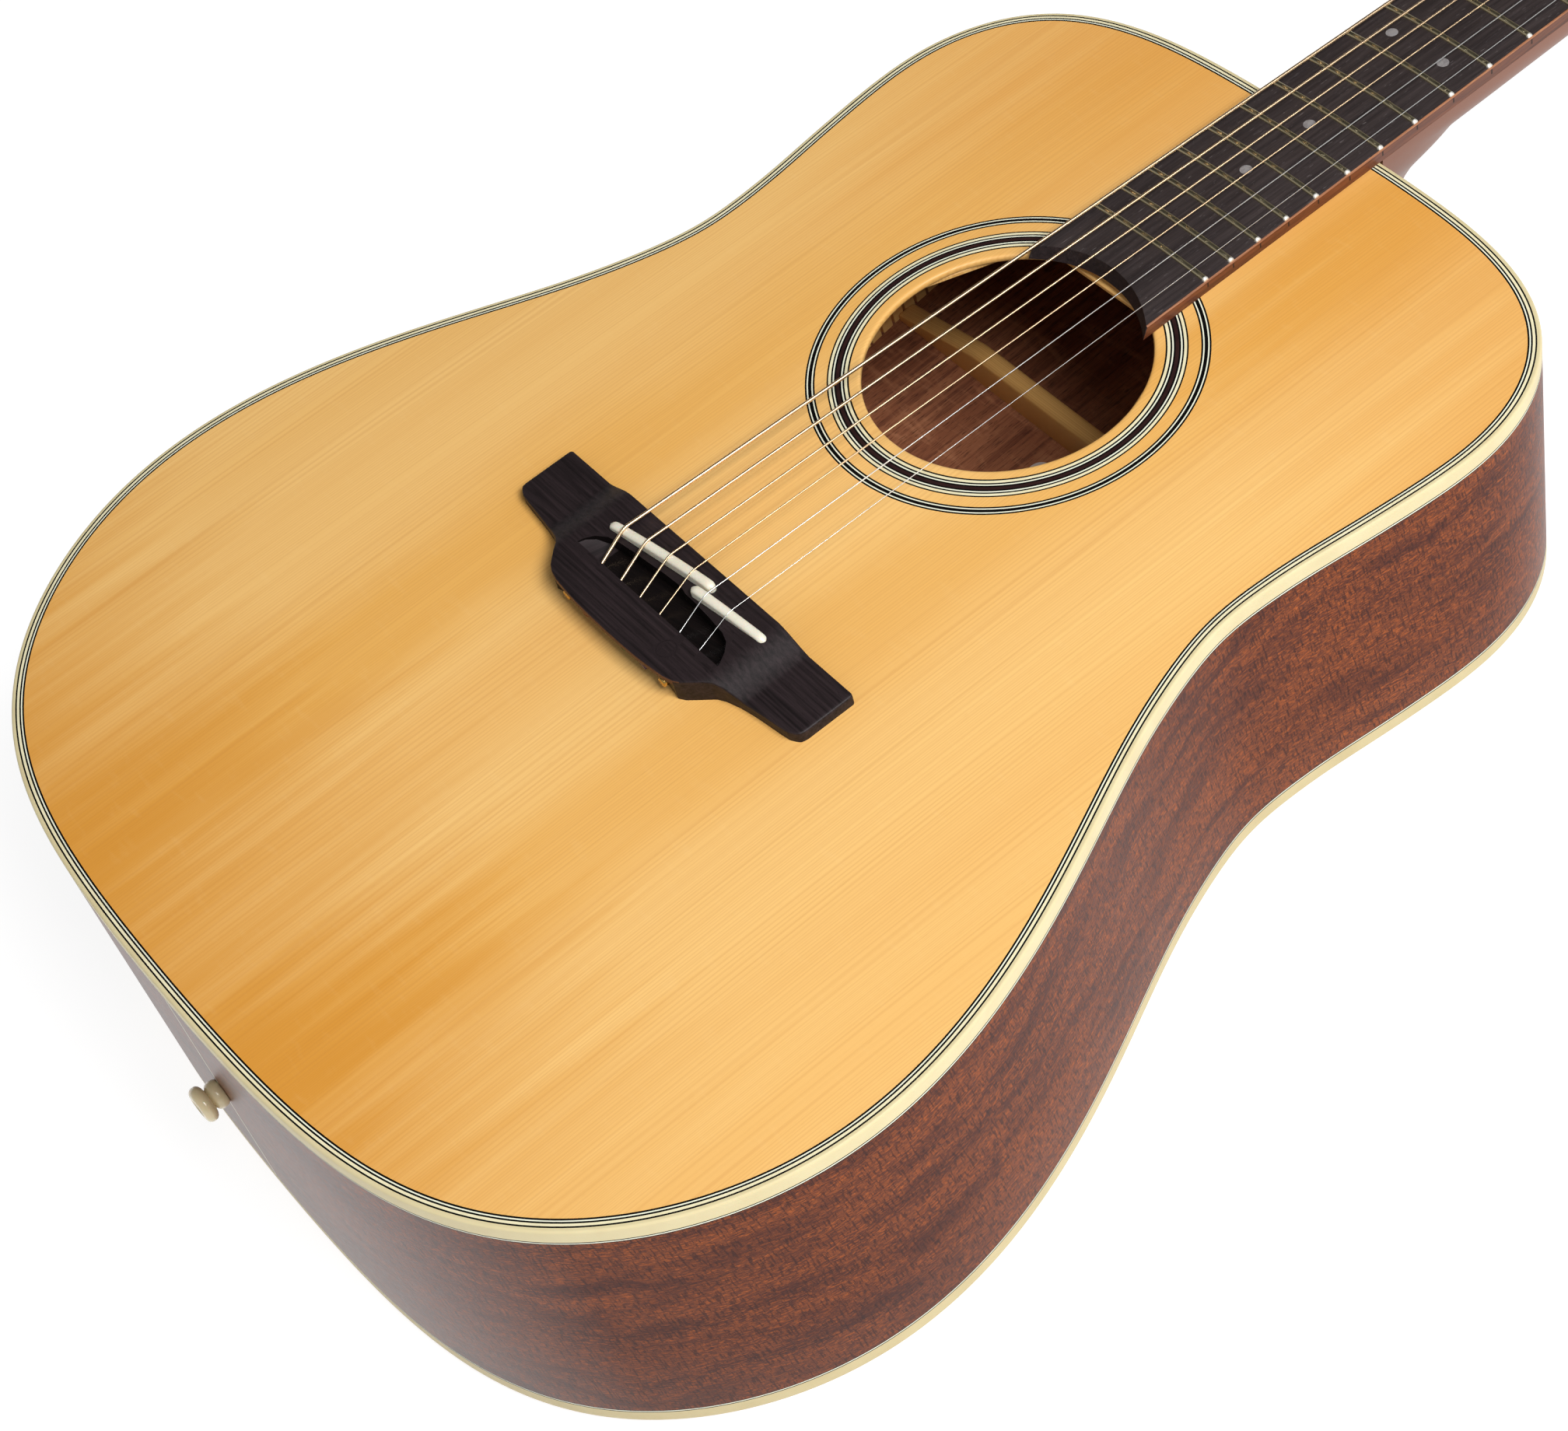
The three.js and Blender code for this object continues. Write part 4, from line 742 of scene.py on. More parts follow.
# ------------------------------------------------------------------ purfling and bindings
def off(o):
    return P0 + o * Q0


def strip(o0, o1, z0, z1, fz0=0.0):
    a, b = off(o0), off(o1)
    c = lambda e, z: np.column_stack([e, z(e[:, 0]) if callable(z) else np.full(len(e), z)])
    return np.stack([c(a, z1), c(b, z1), c(b, z0), c(a, z0)], 1)


def along(P):
    """grain coordinate that runs round the rim"""
    G = np.array(P)
    G[..., 0] = S0[:, None]
    G[..., 1] = P[..., 2]
    G[..., 2] = 0
    return G


s = Soup()
for o0, o1, mi in [(0, 0.62, 0), (0.62, 1.08, 1), (1.08, 1.66, 0), (1.66, 2.54, 2), (2.54, 3.1, 0)]:
    P = strip(o0, o1, -2.0, 0.0)
    s.ring(P, mi)
piece("purfling_lines", s, [M_BLACK, M_WHITE, M_RCREAM], ["purfling_top"])


def binding(name, node, sign, edge):
    """sign +1: top edge, z grows down from it; -1: back edge"""
    s = Soup()
    prof = [(3.1, 0.0)]
    prof += [(3.75, 0.0)] + [(3.75 + 0.9 * math.sin(t), 0.9 - 0.9 * math.cos(t)) for t in np.linspace(0, pi / 2, 8)[1:]]
    prof += [(4.65, 3.0), (4.65, 6.0), (3.1, 6.0)]
    cols = []
    for o, d in prof:
        e = off(o)
        cols.append(np.column_stack([e, edge(e[:, 0]) - sign * d]))
    s.ring(np.stack(cols, 1))
    # painted shade: the back binding takes the darker copy of the cream
    return piece(name, s, [M_CREAM if sign > 0 else M_CREAM_BACK_SHADE], [node], sharp=50)


binding("top_binding", "binding_top", 1, lambda x: np.zeros(len(x)))
binding("back_binding", "binding_back", -1, rim_back)

# thin lines on the sides beside the bindings
s = Soup()
for d0, d1, mi in [(6.0, 6.45, 0), (6.45, 6.95, 1), (6.95, 7.2, 0)]:
    s.ring(strip(3.4, 4.65, -d1, -d0), mi)
    s.ring(strip(3.4, 4.65, lambda x: rim_back(x) + d0, lambda x: rim_back(x) + d1), mi)
piece("side_lines", s, [M_BLACK, M_WHITE])

# ------------------------------------------------------------------ sides
def side(name, node, sign):
    ss = np.linspace(0, L, 260)
    s0 = np.interp(10.3, DY[:400], ARC[:400])
    s1 = L - 0.45
    ss = np.concatenate([[s0], ss[(ss > s0 + 2) & (ss < s1 - 2)], [s1]])
    p, n = at_arc(ss)
    secs, G = [], []
    for o, ks in ((RIM, np.linspace(0, 1, 13)), (RIM - SIDE_T, np.linspace(1, 0, 7))):
        e = p + o * n
        z0, z1 = -7.2 if o == RIM else -6.0, rim_back(e[:, 0]) + (7.2 if o == RIM else 6.0)
        for k in ks:
            z = z0 + k * (z1 - z0)
            secs.append(np.column_stack([e[:, 0], sign * e[:, 1], z]))
            G.append(np.column_stack([ss, z + (0 if sign > 0 else 37.0), np.zeros(len(z))]))
    s = Soup()
    s.loft(np.stack(secs, 1), ([0] * 13 + [1] * 7) * (len(ss) - 1), np.stack(G, 1))
    return piece(name, s, [M_SIDE, M_BARE], [node], sharp=40)


side("side_rib_bass", "side_bass", 1)
side("side_rib_treble", "side_treble", -1)
# light line inlaid where the two sides meet at the tail
s = Soup()
x0, x1 = -857.54 - RIM, -857.54 - RIM + SIDE_T
for a, b in ((-7.2, BUTTON_Z + 3.2), (BUTTON_Z - 3.2, float(rim_back(x0)) + 7.2)):
    P = np.array([[[x0 - 0.02, -0.45, z], [x0 - 0.02, 0.45, z], [x1, 0.45, z], [x1, -0.45, z]] for z in np.linspace(a, b, 6)])
    s.loft(P)
piece("tail_seam_line", s, [M_WHITE])

# ------------------------------------------------------------------ back
CX = -600.0
s = Soup()
V, F = [np.array([[CX, 0, float(outer_back(CX, 0))]]), np.array([[CX, 0, float(back_z(CX, 0)) + BACK_T]])], []
ks = np.linspace(0, 1, 31)[1:]
e = off(3.1)
for k in ks:
    X, Y = CX + k * (e[:, 0] - CX), k * e[:, 1]
    V.append(np.column_stack([X, Y, outer_back(X, Y)]))
for k in ks:
    X, Y = CX + k * (e[:, 0] - CX), k * e[:, 1]
    V.append(np.column_stack([X, Y, back_z(X, Y) + BACK_T]))
nk = len(ks)
idx = lambda lay, j, i: 2 + (lay * nk + j) * NA + i % NA
for i in range(NA):
    F += [[0, idx(0, 0, i), idx(0, 0, i + 1)], [1, idx(1, 0, i + 1), idx(1, 0, i)]]
    F.append([idx(0, nk - 1, i), idx(1, nk - 1, i), idx(1, nk - 1, i + 1), idx(0, nk - 1, i + 1)])
for lay in (0, 1):
    for j in range(nk - 1):
        for i in range(NA):
            F.append([idx(lay, j, i), idx(lay, j + 1, i), idx(lay, j + 1, i + 1), idx(lay, j, i + 1)])
inside = [1 if min(f) >= idx(1, 0, 0) or f[0] == 1 else 0 for f in F]
V = np.concatenate(V)
G = V.copy()
G[:, 1] = np.abs(V[:, 1]) + 12
G[:, 2] = 0
s.add(V, F, inside, G)
piece("back_board", s, [M_BACK, M_BARE], ["back_plate"], sharp=40)

# ------------------------------------------------------------------ kerfed linings
def kerfed(name, node, sign, top):
    s = Soup()
    sa_, sb_ = np.interp(41, DY[:900], ARC[:900]), L - 39
    pitch, w = 6.5, 5.1
    foot = -4.6 if top else -1.6
    n = int((sb_ - sa_) / pitch)
    # backing strip
    ss = np.linspace(sa_, sa_ + n * pitch - (pitch - w), 200)

    def sec(ss, prof):
        p, q = at_arc(ss)
        cols, gs = [], []
        for o, d in prof:
            e = p + o * q
            z = np.full(len(e), -TOP_T - 0.02 - d) if top else rim_back(e[:, 0]) + BACK_T + 0.02 + d - BACK_ARCH * arch(e[:, 0], e[:, 1])
            cols.append(np.column_stack([e[:, 0], sign * e[:, 1], z]))
            gs.append(np.column_stack([ss, np.full(len(ss), o), z]))
        return np.stack(cols, 1), np.stack(gs, 1)

    A, B = sec(ss, [(2.4, 0), (1.2, 0), (1.2, 12.5), (2.4, 12.8)])
    s.loft(A, 0, B)
    for k in range(n):
        a = sa_ + k * pitch
        A, B = sec(np.array([a, a + w / 2, a + w]), [(1.2, 0), (foot, 0), (foot + 0.2, 3.2), (foot + (1.2 - foot) * 0.45, 8.6), (0.9, 12.3), (1.2, 12.3)])
        s.loft(A, 0, B)
    return piece(name, s, [M_INNER], [node], sharp=30)


for sg, nm in ((1, "bass"), (-1, "treble")):
    kerfed("kerfed_lining_top_" + nm, "lining_top_" + nm, sg, True)
    kerfed("kerfed_lining_back_" + nm, "lining_back_" + nm, sg, False)

# ------------------------------------------------------------------ braces on the back, seen through the soundhole
def brace(name, node, a, b, w, h, face, n=60, end_h=3.0, ramp_l=52.0, scoop=0.13):
    a, b = np.array(a, float), np.array(b, float)
    d = b - a
    l = np.linalg.norm(d)
    t = d / l
    q = np.array([-t[1], t[0]])
    secs, G = [], []
    prof = [(-0.5, 0), (0.5, 0), (0.5, 0.80), (0.47, 0.88), (0.38, 0.95), (0.2, 0.99), (0, 1.0), (-0.2, 0.99), (-0.38, 0.95), (-0.47, 0.88), (-0.5, 0.80)]
    for i in range(n + 1):
        sv = l * i / n
        k = min(1.0, min(sv, l - sv) / ramp_l)
        hh = end_h + (h - end_h) * (k - scoop * math.sin(pi * k))
        row, gr = [], []
        for o, f in prof:
            x, y = a + sv * t + o * w * q
            row.append([x, y, float(face(x, y, f * hh))])
            gr.append([sv, o * w, f * hh])
        secs.append(row)
        G.append(gr)
    s = Soup()
    s.loft(np.array(secs), 0, np.array(G))
    return piece(name, s, [M_INNER], [node], sharp=45)


on_back = lambda x, y, d: back_z(x, y) + BACK_T + 0.05 + d
under_top = lambda x, y, d: top_z(x, y) - TOP_T - 0.05 - d
for i, x, w, h, e in ((1, -461, 8, 15, 2.2), (2, -556, 8, 15, 2.2), (3, -660, 18, 9, 2.2), (4, -760, 18, 9, 2.2)):
    bb = min(float(half_width(x - w / 2)), float(half_width(x + w / 2))) - e
    brace("ladder_brace_%d" % i, "back_brace_%d" % i, (x, -bb), (x, bb), w, h, on_back, ramp_l=47.0, scoop=0.0)
brace("soundhole_brace", "transverse_brace", (-432, -128), (-432, 128), 12, 14, under_top)



def patch(name, face, out, half, angle):
    """thin patch glued under the top beside the soundhole; its inner edge just shows"""
    c, s_ = math.cos(angle), math.sin(angle)
    secs = []
    for k in np.linspace(-1, 1, 13):
        q = k * half
        row = []
        for r, d in ((face + 0.3, 0.0), (out, 0.0), (out, 1.9), (face + 0.5, 2.2), (face, 1.6), (face, 0.4)):
            x, y = HOLE_X + r * c - q * s_, r * s_ + q * c
            row.append([x, y, float(top_z(x, y)) - TOP_T - 0.05 - d])
        secs.append(row)
    s = Soup()
    P = np.array(secs)
    s.loft(P, 0, np.stack([P[..., 1], P[..., 0], P[..., 2]], -1))
    piece(name, s, [M_INNER], sharp=30)


patch("soundhole_patch_front", 45.9, 69, 38, 0)
patch("soundhole_patch_bass", 49.5, 60, 20, math.radians(69))
patch("soundhole_patch_treble", 49.5, 60, 20, -math.radians(69))
# small pale disc glued to the inner face of the back
s = Soup()
dz = float(back_z(DISC[0], DISC[1])) + BACK_T
s.lathe([(0.02, 0), (0.02, 5.2), (0.7, 5.2), (1.0, 4.9), (1.1, 0)], [DISC[0], DISC[1], dz], [0, 0, 1], 40)
piece("back_pad_disc", s, [M_PAD], sharp=40)
for nm in ("x_brace_a", "x_brace_b", "neck_block", "tail_block"):
    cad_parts[nm].data.materials.clear()
    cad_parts[nm].data.materials.append(M_INNER_CAD)
M_PLATE = mahogany("plate_mahogany", attr=False)
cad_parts["bridge_plate"].data.materials.clear()
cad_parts["bridge_plate"].data.materials.append(M_PLATE)
for nm in ("truss_rod", "truss_rod_nut"):
    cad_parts[nm].data.materials.clear()
    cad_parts[nm].data.materials.append(M_INSTEEL_CAD)

# ------------------------------------------------------------------ bridge
REAR = np.array([[0, -680.0], [8, -679.95], [17, -679.7], [24, -679.1], [30, -678.5], [34, -677.4], [36.5, -676.0], [38.6, -674.0], [43.8, -668.8], [47, -667.2], [52.5, -665.6], [58, -664.6], [64, -663.8], [70, -663.1], [74, -662.5], [76.5, -661.2], [77.6, -660.2], [78, -658.0]])


def bridge_h(y):
    a = abs(y)
    k = np.clip((a - 40.0) / 16.5, 0, 1)
    e = k * k * (3 - 2 * k)
    return BR_H + (WING_H - BR_H) * (0.75 * e + 0.25 * np.clip(k * 1.1, 0, 1) ** 1.4)


def bridge_rear(y):
    return float(np.interp(abs(y), REAR[:, 0], REAR[:, 1]))


ys = np.concatenate([[-78, -77.8, -77.4, -76.8, -76], np.linspace(-75.5, -36, 80), np.linspace(-35.5, 35.5, 90), np.linspace(36, 75.5, 80), [76, 76.8, 77.4, 77.8, 78]])
secs = []
for y in ys:
    inset = max(0.0, abs(y) - 76.8)
    k = inset / 1.2
    drop = 0.6 * (1 - math.sqrt(max(0, 1 - k * k))) if k < 1 else 0.6
    xf = -638.5 - 1.2 * (1 - math.sqrt(max(0, 1 - k * k)))
    xr = bridge_rear(y)
    h = BR_Z + bridge_h(y) - drop
    r = 0.6
    row = [(xf, None), (xf, h - r)] + [(xf - r + r * math.cos(t), h - r + r * math.sin(t)) for t in (0.4, 0.8, 1.2)]
    row += [(xf - r + (xr + r - xf + r) * q, h) for q in np.linspace(0, 1, 12)]
    row += [(xr + r - r * math.cos(t), h - r + r * math.sin(t)) for t in (1.2, 0.8, 0.4)] + [(xr, h - r), (xr, None)]
    row += [(xr + (xf - xr) * q, None) for q in (0.25, 0.5, 0.75)]
    secs.append([[x, y, z if z is not None else float(top_z(x, y)) + 0.02] for x, z in row])
s = Soup()
P = np.array(secs)
G = np.stack([P[..., 1], P[..., 0], P[..., 2]], -1)
s.loft(P, 0, G)
bridge = piece("bridge_block", s, [M_BRIDGE, M_BRIDGE_SHADE, M_LIP_REFLECTION], ["bridge"], sharp=28)

RECESS = [[-663.6, 37.6], [-661.0, 36.9], [-658.0, 35.0], [-655.3, 31.2], [-654.2, 26.5], [-653.4, 20], [-652.7, 12], [-651.9, 4], [-651.5, -3], [-651.7, -6], [-652.3, -8.2], [-652.4, -13],
          [-653.0, -22], [-653.9, -30.5], [-655.3, -34.4], [-658.5, -37.6], [-662.0, -39.8], [-663.5, -40.3]]
SADDLES = {"saddle_main": [[-651.3, 35], [-645, -15]], "saddle_treble": [[-650, -9.5], [-646.3, -43.5]]}


def stadium(a, b, w, n=10):
    a, b = np.array(a, float), np.array(b, float)
    f = math.atan2(*(b - a)[::-1])
    r = w / 2
    u = (b - a) / np.linalg.norm(b - a)
    c0, c1 = a + r * u, b - r * u
    pts = [c1 + r * np.array([math.cos(f - pi / 2 + pi * i / n), math.sin(f - pi / 2 + pi * i / n)]) for i in range(n + 1)]
    pts += [c0 + r * np.array([math.cos(f + pi / 2 + pi * i / n), math.sin(f + pi / 2 + pi * i / n)]) for i in range(n + 1)]
    return pts


def beyond(a, b, k):
    a, b = np.array(a, float), np.array(b, float)
    return a + k * (b - a)


ball = lambda i: np.array([-678.2, BALL_Y[i], 7.7])
mouth = lambda i: np.array([-663.2, BALL_Y[i] + (BR_Y[i] - BALL_Y[i]) * 0.55, 8.4])
scoop_tool = tool(prism(RECESS, BT - 5.2, BT + 3))
ramps = []
for yz in ([(28.0, BT - 5.3), (38.6, BT - 0.1), (38.6, BT - 7), (28.0, BT - 7)], [(-35.0, BT - 5.3), (-41.4, BT - 0.6), (-41.4, BT - 7), (-35.0, BT - 7)]):
    ts = Soup()
    ts.loft(np.array([[[x, y, z] for y, z in yz] for x in (-675.0, -640.0)]))
    ramps.append(tool(ts))
cut_with(scoop_tool, ramps)
tools = [scoop_tool]
for a, b in SADDLES.values():
    tools.append(tool(prism(stadium(a, b, SAD_W + 0.06), BT - 6.0, BT + 3)))
for i in range(6):
    ts = Soup()
    a, b = beyond(ball(i), mouth(i), -0.5), beyond(ball(i), mouth(i), 1.25)
    r = max(STR_R[i], 0.3) + 0.35
    ts.lathe([(0, 0), (0, r), (np.linalg.norm(b - a), r), (np.linalg.norm(b - a), 0)], a, b - a, 14)
    tools.append(tool(ts))
# channel along the foot of the rear face, where the ball ends sit
ch = [[bridge_rear(y) + 3.4 * (1 - (abs(y) / 34.001) ** 6), y] for y in np.linspace(-34, 34, 55)]
ch += [[-690, 34], [-690, -34]]
tools.append(tool(prism(ch, 0.0, 10.0)))
# faint ring of a plug let into the top
pr = Soup()
pr.lathe([(BT - 0.12, 3.38), (BT - 0.12, 3.52), (BT + 1, 3.52), (BT + 1, 3.38)], [-670.7, -22.0, 0], [0, 0, 1], 40)
tools.append(tool(pr))
cut_with(bridge, tools)
for p in bridge.data.polygons:  # painted shade: darker, glossier copy of the bridge wood inside the recess and the channel
    c = p.center
    z = BT * 0.001
    mx = (c.x * 1000 - TX) * ct - (c.z * 1000 - TZ) * st
    mz = (c.x * 1000 - TX) * st + (c.z * 1000 - TZ) * ct
    if (-663.7 < mx < -651.0 and abs(c.y * 1000) < 40.5 and mz < BT - 0.05 and abs(bridge_h(c.y * 1000) - BR_H) < 0.3 and mz > BT - 5.6) or (mx < -674 and mz < 10.1 and abs(c.y * 1000) < 34 and mx > bridge_rear(c.y * 1000) + 0.05):
        if not (0.3 < p.normal.z < 0.97 and mz > BT - 5.1 and abs(c.y) > 0.0275):
            p.material_index = 1
    # painted reflection: the upper rear face takes the lighter lip copy
    elif mx < bridge_rear(c.y * 1000) + 0.25 and mz > 10.0 and abs(p.normal.x) > 0.7 and abs(c.y * 1000) < 36:
        p.material_index = 2

crown = lambda y: SAD_TOP - y * y / (2 * BOARD_R)


def saddle(name, a, b):
    a, b = np.array(a, float), np.array(b, float)
    l = np.linalg.norm(b - a)
    u = (b - a) / l
    q = np.array([-u[1], u[0]])
    r = SAD_W / 2
    sv = np.concatenate([r - r * np.cos(np.linspace(0.12, pi / 2, 8)), np.linspace(r + 0.8, l - r - 0.8, 40), l - r + r * np.sin(np.linspace(0, pi / 2 - 0.12, 8))])
    secs = []
    for v in sv:
        w = math.sqrt(max(0.0, r * r - max(0.0, r - v, v - (l - r)) ** 2))
        c = a + v * u
        e = min(v, l - v)
        t = crown(c[1]) - (1.3 * (1 - min(1, e / 3.2)) ** 2)
        row = [(-w, BT - 5.8), (w, BT - 5.8), (w, t - 1.3)] + [(w * math.cos(g), t - 1.3 + 1.3 * math.sin(g)) for g in np.linspace(0, pi, 11)[1:-1]] + [(-w, t - 1.3)]
        secs.append([[*(c + o * q), z] for o, z in row])
    s = Soup()
    s.loft(np.array(secs))
    return piece(name + "_bone", s, [M_BONE], [name], sharp=50)


for nm, (a, b) in SADDLES.items():
    saddle(nm, a, b)

# ------------------------------------------------------------------ strap button
s = Soup()
prof = [(0, 2.25), (0, 4.4), (0.3, 4.7), (0.9, 5.0), (1.6, 5.17), (2.4, 5.2), (3.2, 5.1), (3.9, 4.8), (4.4, 4.3), (4.7, 3.75), (4.9, 3.5), (5.05, 4.1), (5.25, 5.0), (5.7, 5.85), (6.3, 6.4), (7.0, 6.7), (7.8, 6.73), (8.6, 6.5), (9.3, 6.0), (9.72, 5.3), (9.88, 4.6), (9.88, 3.9), (9.8, 3.6), (9.3, 3.3), (7.9, 2.25)]
s.lathe(prof, [-862.25, 0, BUTTON_Z], [-1, 0, 0], 48)
piece("strap_button_body", s, [M_BUTTON], ["strap_button"], sharp=60)
s = Soup()
s.lathe([(-20, 0), (-17, 1.6), (-16, 1.9), (7.5, 1.9), (8.9, 3.1), (9.2, 3.15), (9.45, 2.6), (9.48, 0.0)], [-862.25, 0, BUTTON_Z], [-1, 0, 0], 32)
screw = piece("strap_screw", s, [M_INSTEEL], ["strap_button_screw"], sharp=40)
cross = []
for ax in (0, 1):
    ts = Soup()
    w = (2.2, 0.45) if ax == 0 else (0.45, 2.2)
    P = np.array([[[x, -w[0], BUTTON_Z - w[1]], [x, w[0], BUTTON_Z - w[1]], [x, w[0], BUTTON_Z + w[1]], [x, -w[0], BUTTON_Z + w[1]]] for x in (-873.4, -870.9)])
    ts.loft(P)
    cross.append(tool(ts))
cut_with(screw, cross)

# ------------------------------------------------------------------ fingerboard
uOf = lambda d: -PIVOT - d
board_w = lambda u: 43.0 + 0.0355 * (-PIVOT - np.asarray(u, float))
board_top = lambda y: BOARD_T - np.asarray(y) ** 2 / (2 * BOARD_R)
HU = HOLE_X - PIVOT


def end_u(v, r):
    """where the rounded end crosses the line at v of the half width"""
    u = HU + 40.0
    for _ in range(12):
        y = v * board_w(u) / 2
        u = HU + math.sqrt(max(r * r - y * y, 1))
    return u


NV, NU = 41, 150
vs = np.linspace(-1, 1, NV)
U_NUT = uOf(0) - 0.02
ut = np.array([end_u(v, 48.6) for v in vs])
ub = np.array([end_u(v, 46.7) for v in vs])
ks = np.linspace(0, 1, NU) ** 1.0
top = np.zeros((NU, NV, 3))
bot = np.zeros((NU, NV, 3))
CH = 0.55
for j, v in enumerate(vs):
    for arr, e in ((top, ut[j]), (bot, ub[j])):
        u = e + ks * (U_NUT - e)
        y = v * board_w(u) / 2
        arr[:, j, 0], arr[:, j, 1] = u, y
        arr[:, j, 2] = board_top(y) if arr is top else BOARD_B
# the face stops short of the edge, where a narrow rounded corner shows lighter wood
face = top.copy()
inset = np.clip(1 - CH * 2 / board_w(face[..., 0]), 0, 1)
face[..., 1] *= inset
face[..., 2] = board_top(face[..., 1])
s = Soup()


def sheet(grid, mat, g=None):
    n, m = grid.shape[:2]
    s.add(grid, grid_faces(n, m, False, False), mat, g)


def gn(P):
    return np.asarray(P)


edgeL = [np.stack([face[:, 0, 0], face[:, 0, 1], face[:, 0, 2]], -1)]
for k in (0.35, 0.7, 1.0):
    t = k * pi / 2
    y = face[:, 0, 1] - CH * math.sin(t)
    z = face[:, 0, 2] - 0.05 - CH * 0.9 * (1 - math.cos(t))
    edgeL.append(np.stack([face[:, 0, 0], y, z], -1))
edgeR = [p * [1, -1, 1] for p in edgeL]
sheet(face, 0)
sheet(np.stack(edgeL, 1), 1)
sheet(np.stack(edgeR, 1), 1)
botL = bot[:, 0].copy()
botL[:, 1] = edgeL[-1][:, 1]
sideL = np.stack([edgeL[-1] + (botL - edgeL[-1]) * k for k in np.linspace(0, 1, 6)], 1)
sheet(sideL, 2)
sheet(sideL * [1, -1, 1], 2)
bot[:, 0] = sideL[:, -1]
bot[:, -1] = sideL[:, -1] * [1, -1, 1]
sheet(bot, 2)
loop_top = np.concatenate([[edgeL[-1][0], edgeL[2][0], edgeL[1][0]], face[0], [edgeR[1][0], edgeR[2][0], edgeR[-1][0]]])
loop_bot = np.stack([np.interp(np.linspace(0, 1, len(loop_top)), np.linspace(0, 1, NV), bot[0, :, k]) for k in range(3)], -1)
for k in range(3):
    loop_bot[:, k] = np.interp(loop_top[:, 1], bot[0, :, 1], bot[0, :, k]) if k != 1 else loop_top[:, 1]
sheet(np.stack([loop_top + (loop_bot - loop_top) * k for k in np.linspace(0, 1, 7)], 1), 3)
loop_top = np.concatenate([[edgeL[-1][-1], edgeL[2][-1], edgeL[1][-1]], face[-1], [edgeR[1][-1], edgeR[2][-1], edgeR[-1][-1]]])
loop_bot = loop_top.copy()
loop_bot[:, 2] = BOARD_B
sheet(np.stack([loop_top, loop_bot], 1), 2)
board = piece("fingerboard_body", s, [M_BOARD, M_BEDGE, M_BSIDE, M_BEND], ["fingerboard"], space=N, sharp=40)
bm = bmesh.new()
bm.from_mesh(board.data)
bmesh.ops.remove_doubles(bm, verts=bm.verts, dist=2e-5)
bm.to_mesh(board.data)
bm.free()
sharpen(board.data, 28)

# frets
fret_u = [uOf(644 * (1 - 2 ** (-(n + 1) / 12))) for n in range(20)]
for n, u in enumerate(fret_u):
    hw = float(board_w(u)) / 2 - 0.45
    yy = np.concatenate([[-hw, -hw + 0.12, -hw + 0.35, -hw + 0.7, -hw + 1.1], np.linspace(-hw + 1.6, hw - 1.6, 26), [hw - 1.1, hw - 0.7, hw - 0.35, hw - 0.12, hw]])
    secs = []
    for y in yy:
        e = hw - abs(y)
        k = min(1.0, e / 1.1)
        hh = 1.12 * (0.30 + 0.70 * math.sqrt(max(0, 1 - (1 - k) ** 2)))
        w = 1.15 * (0.55 + 0.45 * math.sqrt(max(0, 1 - (1 - min(1, e / 0.5)) ** 2)))
        z = float(board_top(y)) - 0.03
        secs.append([[u + w * math.cos(t), y, z + hh * math.sin(t) ** 0.85 if 0 < t < pi else z] for t in np.linspace(0, pi, 11)])
    s = Soup()
    ns = len(secs)
    # painted highlight: the sections at each end of the fret take the whitish fret-end copy
    s.loft(np.array(secs), [2 if (k < 4 or k > ns - 6) else 0 for k in range(ns - 1) for _ in range(11)])
    w2 = float(board_w(u)) / 2
    for sg in (1, -1):   # the end of the tang in its slot
        P = np.array([[[u - 0.32, sg * (w2 - 0.4), z], [u + 0.32, sg * (w2 - 0.4), z], [u + 0.32, sg * (w2 + 0.015), z], [u - 0.32, sg * (w2 + 0.015), z]] for z in (2.2, float(board_top(w2)) - 0.75)])
        s.loft(P, 1)
    piece("fret_%02d" % (n + 1), s, [M_FRET, M_TANG, M_FEND_HIGHLIGHT], ["frets"], space=N, sharp=50)

# position dots
s = Soup()
mid = lambda n: (fret_u[n - 1] + (fret_u[n - 2] if n > 1 else uOf(0))) / 2
for n, yy in ((3, [0]), (5, [0]), (7, [0]), (9, [0]), (12, [-12.6, 12.6]), (15, [0]), (17, [0])):
    for y0 in yy:
        a = np.linspace(0, 2 * pi, 37)[:-1]
        rows = []
        for r, dz in ((2.25, -0.4), (2.25, 0.0), (2.1, 0.035)):
            x, y = mid(n) + r * np.cos(a), y0 + r * np.sin(a)
            rows.append(np.column_stack([x, y, board_top(y) + dz]))
        V = np.concatenate(rows + [[[mid(n), y0, float(board_top(y0)) + 0.04]]])
        F = grid_faces(3, 36, False, True) + [[72 + i, 72 + (i + 1) % 36, 108] for i in range(36)] + [list(range(36))[::-1]]
        s.add(V, F)
piece("position_dots", s, [M_DOT], space=N)

